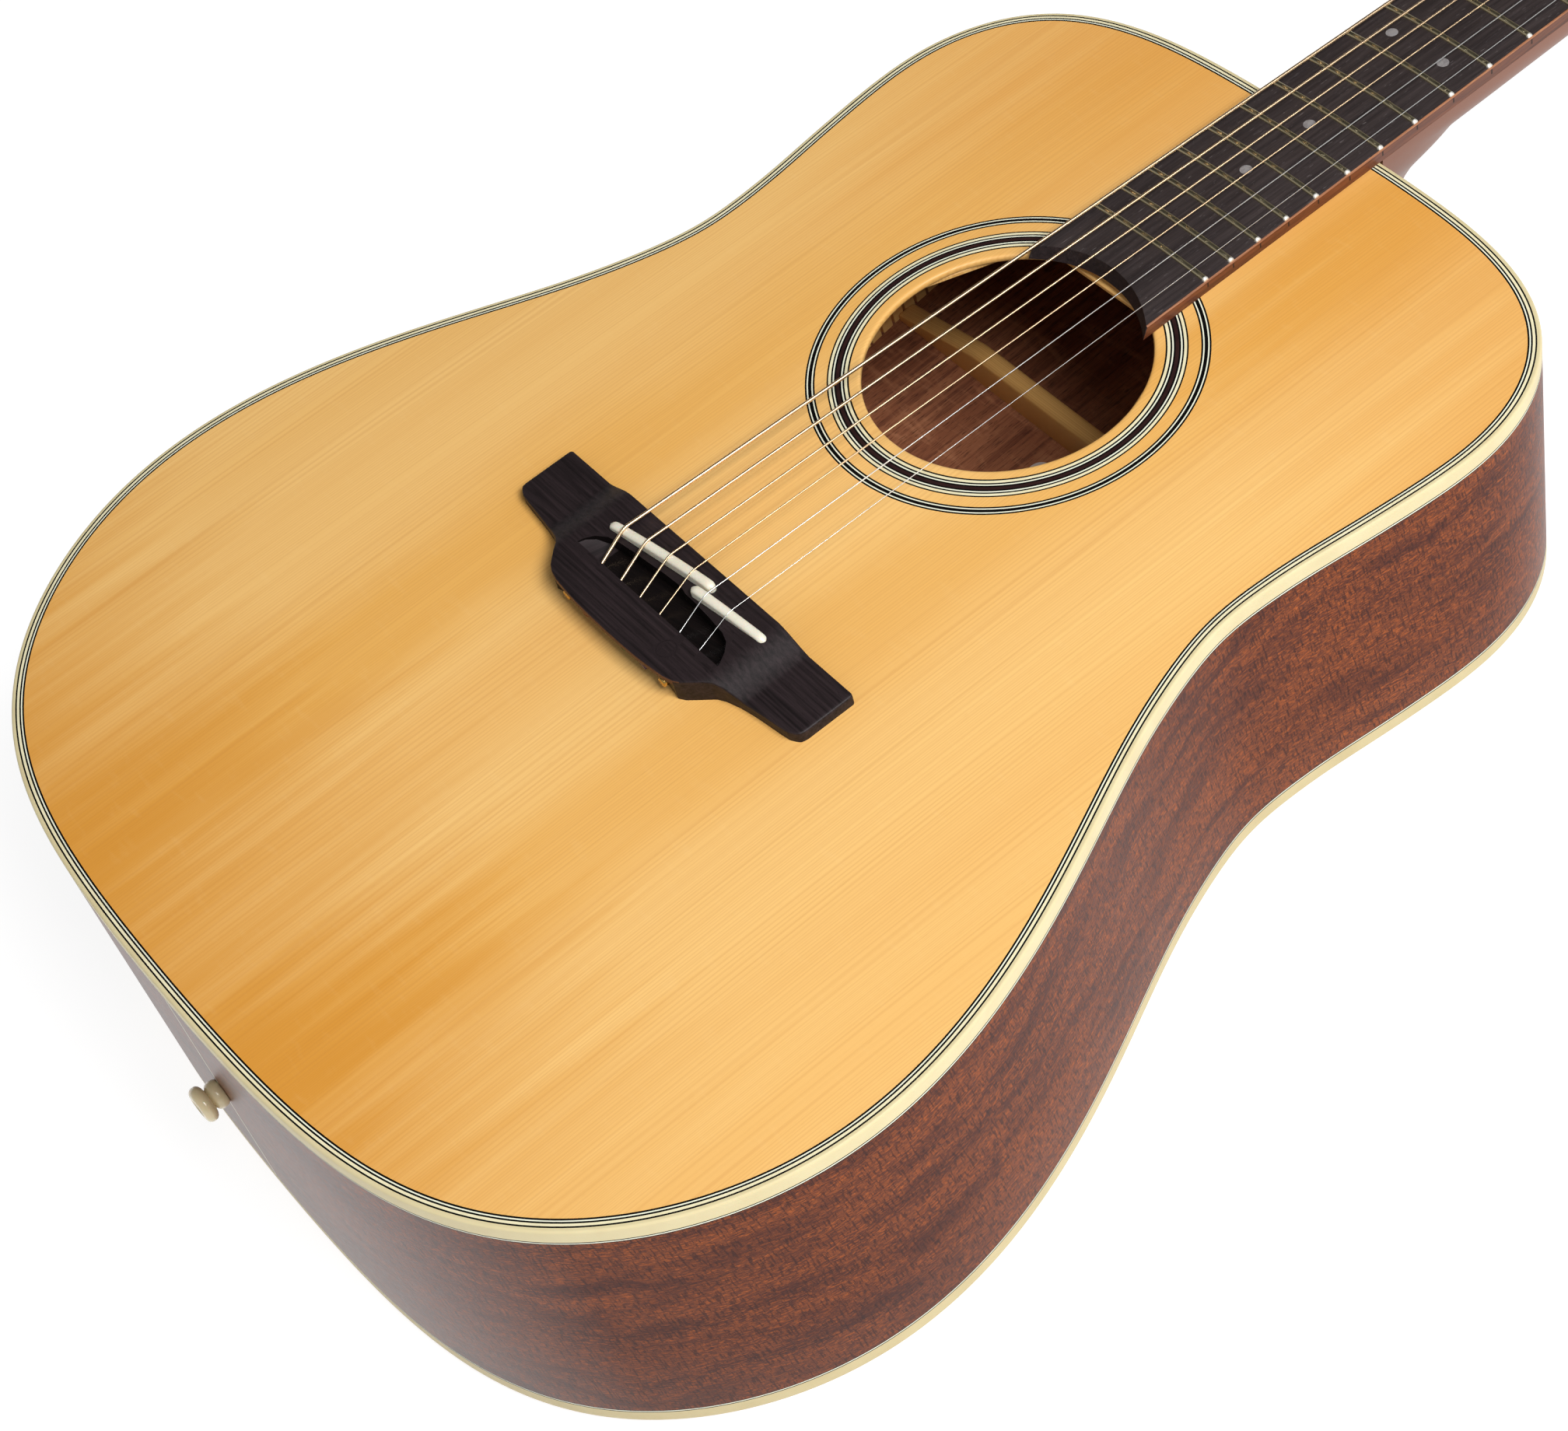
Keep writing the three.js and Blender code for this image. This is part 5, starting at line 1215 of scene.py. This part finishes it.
# ------------------------------------------------------------------ nut
s = Soup()
nut_slot = lambda y: float(board_top(y)) + 1.1 + 0.45 + 0.3
ys = np.linspace(-21.4, 21.4, 90)
secs = []
for y in ys:
    e = min(1, (21.4 - abs(y)) / 1.2)
    t = float(board_top(y)) + 1.1 + 1.05 - 0.7 * (1 - math.sqrt(max(0, 1 - (1 - e) ** 2)))
    u0, u1 = uOf(0) + 0.02, uOf(0) + NUT_T
    row = [(u0, 0.05), (u0, t - 0.5), (u0 + 0.25, t - 0.12), (u0 + 0.7, t), (u0 + 2.5, t - 0.15), (u1 - 1.2, t - 0.55), (u1 - 0.3, t - 1.1), (u1, t - 1.8), (u1, 0.05)]
    secs.append([[u, y, z] for u, z in row])
s.loft(np.array(secs))
nut = piece("nut_bone", s, [M_BONE], ["nut"], space=N, sharp=40)
tools = []
for i in range(6):
    ts = Soup()
    r = STR_R[i] + 0.04
    z0 = float(board_top(NUT_Y[i])) + 1.55 + 0.3
    pts = [(NUT_Y[i] - r, z0 + 4), (NUT_Y[i] - r, z0 + r)] + [(NUT_Y[i] - r * math.cos(t), z0 + r - r * math.sin(t)) for t in (0.5, 1.05, pi / 2, 2.1, 2.64)] + [(NUT_Y[i] + r, z0 + r), (NUT_Y[i] + r, z0 + 4)]
    ts.loft(np.array([[[u, y, z - 0.05 * (u - uOf(0))] for y, z in pts] for u in (uOf(0) - 2, uOf(0) + NUT_T + 2)]))
    tools.append(tool(ts, N))
cut_with(nut, tools)

# ------------------------------------------------------------------ neck: shaft and heel melted together, then the headstock
def head_half(h):
    h = np.asarray(h, float)
    return np.where(h < 30, 22 + 9 * np.power(np.maximum(0, h) / 30, 1.6), 31 + 6 * (h - 30) / 135)


uu = np.concatenate([np.linspace(-6, 60, 45), np.linspace(62, 364.2, 120)])
secs = []
for u in uu:
    d = float(np.interp(-PIVOT - u, [-6, 10, 70, 140, 210, 270, 302, 364], [14.0, 14.6, 15.2, 15.9, 16.6, 17.3, 18.0, 18.6]))
    w = float(board_w(max(u, -6))) / 2 - 0.05
    row = [[u, w, 6.0], [u, w, 3.0], [u, w, 0.4]]
    for t in np.linspace(0, pi, 41):
        c_, s_ = math.cos(t), math.sin(t)
        row.append([u, math.copysign(w * abs(c_) ** 0.72, c_), -d * s_ ** 0.80 - 0.0])
    row += [[u, -w, 0.4], [u, -w, 3.0], [u, -w, 6.0]]
    secs.append(row)
s = Soup()
P = np.array(secs)
s.loft(P)
zs = np.array([6, 0, -4, -8, -12, -15, -18, -20, -23.5, -29.5, -38, -50, -66, -84, -95, -104])
Ls = np.array([74, 74, 73, 71, 68, 64, 58, 50, 41, 34, 29, 25.6, 23.4, 22.4, 22.0, 21.8])
Ws = np.array([55.7, 55.6, 55.2, 54.2, 52.4, 50.3, 47.6, 45.6, 42.6, 38.4, 34.0, 29.9, 26.6, 24.4, 23.4, 22.8])
zz = np.concatenate([np.linspace(6, -30, 30), np.linspace(-31.5, -104, 55)])
secs = []
for z in zz:
    Lz, Wz = np.interp(-z, -zs, Ls), np.interp(-z, -zs, Ws)
    row = [[-6, -Wz / 2, z]]
    for t in np.linspace(-pi / 2, pi / 2, 49):
        p = 2.3
        row.append([Lz * abs(math.cos(t)) ** (2 / p), math.copysign(Wz / 2 * abs(math.sin(t)) ** (2 / p), math.sin(t)), z])
    row.append([-6, Wz / 2, z])
    secs.append(row)
s.loft(np.array(secs))
neck = piece("neck_body", s, [M_NECK], ["neck"], space=N, sharp=180)
VOX = 0.0011
m = neck.modifiers.new("melt", "REMESH")
m.mode, m.voxel_size, m.use_smooth_shade = "VOXEL", VOX, True
m = neck.modifiers.new("smooth", "SMOOTH")
m.factor, m.iterations = 0.5, 14
apply_mods(neck, 180)
tt = []
ts = Soup()   # above the glue face
ts.loft(np.array([[[u, -60, 0.0], [u, 60, 0.0], [u, 60, 20], [u, -60, 20]] for u in (-30, 400)]))
tt.append(tool(ts, N))
ts = Soup()   # behind the face that meets the body
ts.loft(np.array([[[-30, y, 20], [0.35, y, 20], [0.35 + 150 * math.tan(NECK_TILT) + 0.35, y, -130], [-30, y, -130]] for y in (-60, 60)]))
tt.append(tool(ts, N))
ts = Soup()   # below the heel's flat bottom
ts.loft(np.array([[[u, -60, -HEEL], [u, 60, -HEEL], [u, 60, -140], [u, -60, -140]] for u in (-30, 60)]))
tt.append(tool(ts, N))
ts = Soup()   # beyond the nut, where the headstock takes over
ts.loft(np.array([[[362.5, y, 20], [420, y, 20], [420, y, -60], [362.5, y, -60]] for y in (-60, 60)]))
tt.append(tool(ts, N))
cut_with(neck, tt)

hs = np.concatenate([np.linspace(-4.5, 30, 24), np.linspace(33, 150, 26), np.linspace(153, 170, 12)])
HZ = -VEN_T - 0.02


def head_outline(inset=0.0, h0=-4.5):
    side_ = [[h, float(head_half(h)) - inset - (1.0 if h < 0 else 0) * min(1, -h / 4.5) * 1.2] for h in np.concatenate([np.linspace(h0, 30, 22), np.linspace(34, 158, 24)])]
    # rounded upper corner and a shallow crown
    c = np.array([[160, 36.85], [163.5, 36.6], [167, 35.6], [170.2, 33.4], [172.6, 30.2], [174.2, 26], [175.6, 20], [176.8, 13], [177.6, 6], [177.9, 0]])
    side_ += [[h - inset * 0.9, y - inset * (1 if y > 1 else 0) * 0.8] for h, y in c]
    side_ = np.array(side_)
    return np.concatenate([side_, (side_[:-1] * [1, -1])[::-1]])


s = Soup()
rows = []
for z, ins in ((HZ, 0.0), (HZ - HEAD_T + 2.2, 0.0), (HZ - HEAD_T + 1.1, 0.25), (HZ - HEAD_T + 0.4, 0.8), (HZ - HEAD_T, 1.7)):
    o = head_outline(ins)
    rows.append(np.column_stack([o, np.full(len(o), z)]))
s.loft(np.array(rows))
G = np.concatenate(s.v)
headpiece = piece("headstock_core", s, [M_NECK], ["neck"], space=H, sharp=40)
holes = []
for i in range(6):
    ts = Soup()
    ts.lathe([(-30, 0), (-30, 4.7), (10, 4.7), (10, 0)], [POST_H[i], POST_Y[i], 0], [0, 0, 1], 32)
    holes.append(tool(ts, H))
cut_with(headpiece, holes)
s = Soup()
rows = []
for z, ins in ((-VEN_T, 0.0), (-0.35, 0.0), (-0.1, 0.12), (0.0, 0.4)):
    o = head_outline(ins, 1.0)
    rows.append(np.column_stack([o, np.full(len(o), z)]))
s.loft(np.array(rows))
veneer = piece("headstock_face", s, [M_VENEER], ["headstock_veneer"], space=H, sharp=30)
holes = []
for i in range(6):
    ts = Soup()
    ts.lathe([(-30, 0), (-30, 4.7), (10, 4.7), (10, 0)], [POST_H[i], POST_Y[i], 0], [0, 0, 1], 32)
    holes.append(tool(ts, H))
cut_with(veneer, holes)

# heel cap
s = Soup()
rows = []
zb = -HEEL
Wc, Lc = 22.9, 21.85
for z, ins in ((zb - 0.02, 0.0), (zb - 2.4, 0.05), (zb - 3.0, 0.3), (zb - 3.35, 0.9)):
    f = 0.45 - z * math.tan(NECK_TILT)
    row = [[f, -Wc / 2 + ins, z]]
    for t in np.linspace(-pi / 2, pi / 2, 49):
        row.append([max(f, (Lc - ins) * abs(math.cos(t)) ** (2 / 2.3)), math.copysign((Wc / 2 - ins) * abs(math.sin(t)) ** (2 / 2.3), math.sin(t)), z])
    row.append([f, Wc / 2 - ins, z])
    rows.append(row)
s.loft(np.array(rows))
piece("heel_cap_plate", s, [M_VENEER], ["heel_cap"], space=N, sharp=30)

# ------------------------------------------------------------------ tuners
HZB = HZ - HEAD_T
KEY_DH, KEY_Z = 6.4, -VEN_T - 0.3 - HEAD_T - 6.0


def rounded(x0, x1, y0, y1, r, n=6):
    pts = []
    for cx, cy, a0 in ((x1 - r, y1 - r, 0), (x0 + r, y1 - r, pi / 2), (x0 + r, y0 + r, pi), (x1 - r, y0 + r, 3 * pi / 2)):
        pts += [[cx + r * math.cos(a0 + pi / 2 * k / n), cy + r * math.sin(a0 + pi / 2 * k / n)] for k in range(n + 1)]
    return np.array(pts)


for i in range(6):
    n, h, y = i + 1, POST_H[i], POST_Y[i]
    sg = 1 if y > 0 else -1
    s = Soup()
    rows = []
    zt = HZB - 0.02
    for z, ins in ((zt, 0.15), (zt - 0.3, 0.0), (zt - 2.2, 0.0), (zt - 2.6, 0.5), (zt - 8.6, 0.9), (zt - 10.0, 1.6), (zt - 10.7, 2.8)):
        o = rounded(-8 + ins, 11 - ins, -8.5 + ins, 9 - ins, 3.0 - min(ins, 1.2))
        o = np.column_stack([h + o[:, 0], y + sg * o[:, 1]])
        rows.append(np.column_stack([o, np.full(len(o), z)]))
    s.loft(np.array(rows))
    # collar where the key's shaft comes out
    s.lathe([(0, 0), (0, 3.9), (1.2, 3.9), (1.6, 3.5), (1.6, 0)], [h + KEY_DH, y + sg * 8.2, KEY_Z], [0, sg, 0], 28)
    housing = piece("housing_%d" % n, s, [M_CHROME], ["tuner_housing_%d" % n], space=H, sharp=32)
    s = Soup()  # bushing with a hexagonal nut and washer on the face
    s.lathe([(zt, 3.25), (zt, 4.6), (0.05, 4.6), (0.05, 6.7), (0.5, 6.7), (0.62, 6.4), (0.62, 3.25)], [h, y, 0], [0, 0, 1], 40)
    a = np.arange(6) * pi / 3 + 0.2 * n
    rows = []
    for z, r in ((0.62, 5.6), (2.3, 5.6), (2.75, 5.15)):
        o = []
        for k in range(6):
            p, q = np.array([math.cos(a[k]), math.sin(a[k])]), np.array([math.cos(a[(k + 1) % 6]), math.sin(a[(k + 1) % 6])])
            o += [p * (1 - t) + q * t for t in (0.04, 0.35, 0.65, 0.96)]
        o = np.array(o) * r
        rows.append(np.column_stack([h + o[:, 0], y + o[:, 1], np.full(len(o), z)]))
    inner = [np.column_stack([h + 3.25 * np.cos(t), y + 3.25 * np.sin(t), np.full(24, z)]) for z, t in ((2.75, np.arange(24) * 2 * pi / 24 + a[0]), (0.62, np.arange(24) * 2 * pi / 24 + a[0]))]
    P = np.array(rows + inner)
    s.add(P, grid_faces(5, 24, False, True) + [[4 * 24 + k, 4 * 24 + (k + 1) % 24, (k + 1) % 24, k] for k in range(24)])
    piece("bushing_%d" % n, s, [M_CHROME], ["tuner_housing_%d" % n], space=H, sharp=30)
    s = Soup()
    s.lathe([(zt - 9, 0), (zt - 9, 2.9), (2.6, 2.98), (3.4, 2.98), (4.2, 2.75), (5.2, 2.66), (6.4, 2.7), (7.4, 2.95), (8.0, 3.05), (9.4, 3.05), (9.9, 2.85), (10.15, 2.3), (10.15, 0)], [h, y, 0], [0, 0, 1], 40)
    post = piece("post_%d" % n, s, [M_CHROME], ["tuner_post_%d" % n], body="tuner_post_%d" % n, space=H, sharp=35)
    ts = Soup()
    ts.lathe([(-5, 0), (-5, 0.85), (5, 0.85), (5, 0)], [h, y, 6.6], [math.cos(0.5), math.sin(0.5), 0], 16)
    cut_with(post, [tool(ts, H)])
    # key: collar, shaft and a smooth oval button
    s = Soup()
    yk = float(head_half(h)) + 3.2 - abs(y)
    s.lathe([(-4.6, 0), (-4.6, 1.9), (9.9, 1.9), (9.9, 3.1), (10.3, 3.4), (11.3, 3.4), (11.7, 3.0), (11.9, 2.1), (yk - 0.2, 2.1), (yk + 0.4, 2.9), (yk + 2.4, 3.2), (yk + 4, 0)], [h + KEY_DH, y, KEY_Z], [0, sg, 0], 28)
    rows = []
    A, B, Cc = 8.9, 7.6, 2.55
    nlat, nlon = 22, 44
    V = []
    cy = y + sg * (yk + 8.0)
    for j in range(1, nlat):
        ph = -pi / 2 + pi * j / nlat
        row = []
        for k in range(nlon):
            t = 2 * pi * k / nlon
            ce, se = abs(math.cos(ph)) ** 0.55, math.copysign(abs(math.sin(ph)) ** 0.8, math.sin(ph))
            xx = A * ce * math.copysign(abs(math.cos(t)) ** 0.86, math.cos(t)) * (1 + 0.06 * math.sin(t))
            yy = B * ce * math.copysign(abs(math.sin(t)) ** 0.9, math.sin(t))
            dish = 0.72 + 0.28 * min(1, (xx / A) ** 2 + (yy / B) ** 2)
            row.append([h + KEY_DH + xx, cy + sg * yy, KEY_Z + Cc * se * dish])
        V.append(row)
    V = np.array(V)
    nn, mm = V.shape[:2]
    F = grid_faces(nn, mm, False, True) + [list(range(mm)), list(range((nn - 1) * mm, nn * mm))[::-1]]
    s.add(V, F)
    piece("key_%d" % n, s, [M_CHROME], ["tuner_key_%d" % n], body="tuner_key_%d" % n, space=H, sharp=45)

# ------------------------------------------------------------------ strings
BALLS = [(196, 160, 90), (70, 60, 120), (40, 120, 80), (190, 170, 110), (176, 60, 60), (200, 165, 95)]


def saddle_x(i):
    a, b = SADDLES["saddle_treble"] if i < 2 else SADDLES["saddle_main"]
    k = (BR_Y[i] - a[1]) / (b[1] - a[1])
    return a[0] + k * (b[0] - a[0])


def fillet(p0, p1, p2, r, n=7):
    """points that round the corner at p1"""
    a, b = (p0 - p1) / np.linalg.norm(p0 - p1), (p2 - p1) / np.linalg.norm(p2 - p1)
    d = min(r, 0.45 * np.linalg.norm(p0 - p1), 0.45 * np.linalg.norm(p2 - p1))
    s0, s2 = p1 + a * d, p1 + b * d
    t = np.linspace(0, 1, n)[:, None]
    return (1 - t) ** 2 * s0 + 2 * t * (1 - t) * p1 + t * t * s2


for i in range(6):
    r, y = STR_R[i], BR_Y[i]
    sg = 1 if POST_Y[i] > 0 else -1
    R = 2.72 + r
    p_ball, p_mouth = ball(i), mouth(i)
    p_sad = np.array([saddle_x(i), y, crown(y) + r - 0.02])
    z_nut = nut_slot(NUT_Y[i]) + r
    p_n0 = N([uOf(0) + 0.3, NUT_Y[i], z_nut])
    p_n1 = N([uOf(0) + 4.6, NUT_Y[i], z_nut - 0.35])
    turns = 2.6 if i > 2 else 3.6
    z0 = 6.3
    coil = []
    for t in np.linspace(0, turns, int(turns * 28)):
        a = -pi / 2 + 2 * pi * t
        coil.append(H([POST_H[i] + R * math.cos(a), POST_Y[i] + sg * R * math.sin(a), z0 - t * 2.08 * r]))
    coil = np.array(coil)
    path = [p_ball, p_mouth + (p_mouth - p_ball) * 0.02]
    path += list(fillet(p_mouth, p_sad, p_n0, 1.6, 9))
    mid_pts = [p_sad + (p_n0 - p_sad) * k for k in np.linspace(0.01, 0.99, 30)]
    path += mid_pts[1:-1]
    path += list(fillet(mid_pts[-2], p_n0, p_n1, 1.0, 4)) + list(fillet(p_n0, p_n1, coil[0], 1.5, 5))
    path += [p_n1 + (coil[0] - p_n1) * k for k in (0.3, 0.6, 0.9)] + list(coil)
    s = Soup()
    s.tube(path, r, 12 if r > 0.35 else 8)
    s.lathe([(0, 0), (0, 1.5), (0.3, 1.85), (2.3, 1.85), (2.6, 1.5), (2.6, 0)], [-679.0, BALL_Y[i], 7.6], [1, 0, 0.02], 20, 1)
    mb = metal("ball_end_%d" % (i + 1), BALLS[i], 0.25, 0.05)
    piece("string_wire_%d" % (i + 1), s, [M_STEEL if i < 2 else M_BRONZE[i - 2], mb], ["string_%d" % (i + 1)], sharp=50)

# ------------------------------------------------------------------ stage, light and camera
me = bpy.data.meshes.new("floor")
me.from_pydata([(-6, -6, 0), (6, -6, 0), (6, 6, 0), (-6, 6, 0)], [], [(0, 1, 2, 3)])
floor = bpy.data.objects.new("floor", me)
bpy.context.scene.collection.objects.link(floor)
fm = Mat("floor_pale")
fn = fm.noise(fm.node("ShaderNodeTexCoord").outputs["Object"], 3.0, 2.0)
fm.b.inputs["Emission Color"].default_value = (1, 1, 1, 1)
fm.b.inputs["Emission Strength"].default_value = 0.86
me.materials.append(fm.set(color=fm.mix(fn, (0.30, 0.30, 0.30), (0.32, 0.32, 0.32)), rough=0.8, spec=0.1))

# studio: white near the horizon, soft sky, and a dark flag where the satin top would mirror it
world = bpy.data.worlds.new("studio")
bpy.context.scene.world = world
world.use_nodes = True
wt = world.node_tree
bg = wt.nodes["Background"]
tc = wt.nodes.new("ShaderNodeTexCoord")
sep = wt.nodes.new("ShaderNodeSeparateXYZ")
wt.links.new(tc.outputs["Generated"], sep.inputs[0])
sky = wt.nodes.new("ShaderNodeMapRange")
wt.links.new(sep.outputs[2], sky.inputs[0])
for k, v in enumerate((0.05, 0.45, 0.42, 0.40)):
    sky.inputs[k + 1].default_value = v
dot = wt.nodes.new("ShaderNodeVectorMath")
dot.operation = "DOT_PRODUCT"
wt.links.new(tc.outputs["Generated"], dot.inputs[0])
dot.inputs[1].default_value = (0.291, 0.578, 0.762)
flag = wt.nodes.new("ShaderNodeMapRange")
wt.links.new(dot.outputs["Value"], flag.inputs[0])
for k, v in enumerate((0.60, 0.82, 1.0, 0.10)):
    flag.inputs[k + 1].default_value = v
mul = wt.nodes.new("ShaderNodeMath")
mul.operation = "MULTIPLY"
wt.links.new(sky.outputs[0], mul.inputs[0])
wt.links.new(flag.outputs[0], mul.inputs[1])
wt.links.new(mul.outputs[0], bg.inputs[1])
bg.inputs[0].default_value = (1.0, 1.0, 1.0, 1)


def area(name, loc, target, size, power, color=(1, 1, 1)):
    l = bpy.data.lights.new(name, "AREA")
    l.shape, l.size, l.size_y, l.energy, l.color = "RECTANGLE", size[0], size[1], power, color
    o = bpy.data.objects.new(name, l)
    bpy.context.scene.collection.objects.link(o)
    o.location = loc
    d = Vector(target) - Vector(loc)
    o.rotation_euler = d.to_track_quat("-Z", "Y").to_euler()
    return o


area("key_light", (0.02, -1.28, 1.72), (-0.15, 0, 0.1), (1.1, 0.8), 44.5)

Rm = np.array([[0.76917001, -0.6087811, -0.1943272], [-0.58284158, -0.54360151, -0.60398103], [0.26205568, 0.57782607, -0.77294492]])
tv = np.array([466.88017823, -417.08182351, 1250.44630737])
eye = -Rm.T @ tv
rot = np.array([[ct, 0, st], [0, 1, 0], [-st, 0, ct]])
axes = rot @ np.stack([Rm[0], -Rm[1], -Rm[2]], 1)
cam_data = bpy.data.cameras.new("camera")
cam = bpy.data.objects.new("camera", cam_data)
bpy.context.scene.collection.objects.link(cam)
mw = Matrix.Identity(4)
for r_ in range(3):
    for c_ in range(3):
        mw[r_][c_] = float(axes[r_][c_])
    mw[r_][3] = float(T(eye)[r_])
cam.matrix_world = mw
cam_data.sensor_fit = "HORIZONTAL"
cam_data.sensor_width = 36.0
cam_data.lens = 4201.955 * 36.0 / 2016.0
cam_data.clip_start, cam_data.clip_end = 0.05, 50
bpy.context.scene.camera = cam
bpy.context.scene.view_settings.view_transform = "Standard"
bpy.context.scene.view_settings.look = "None"
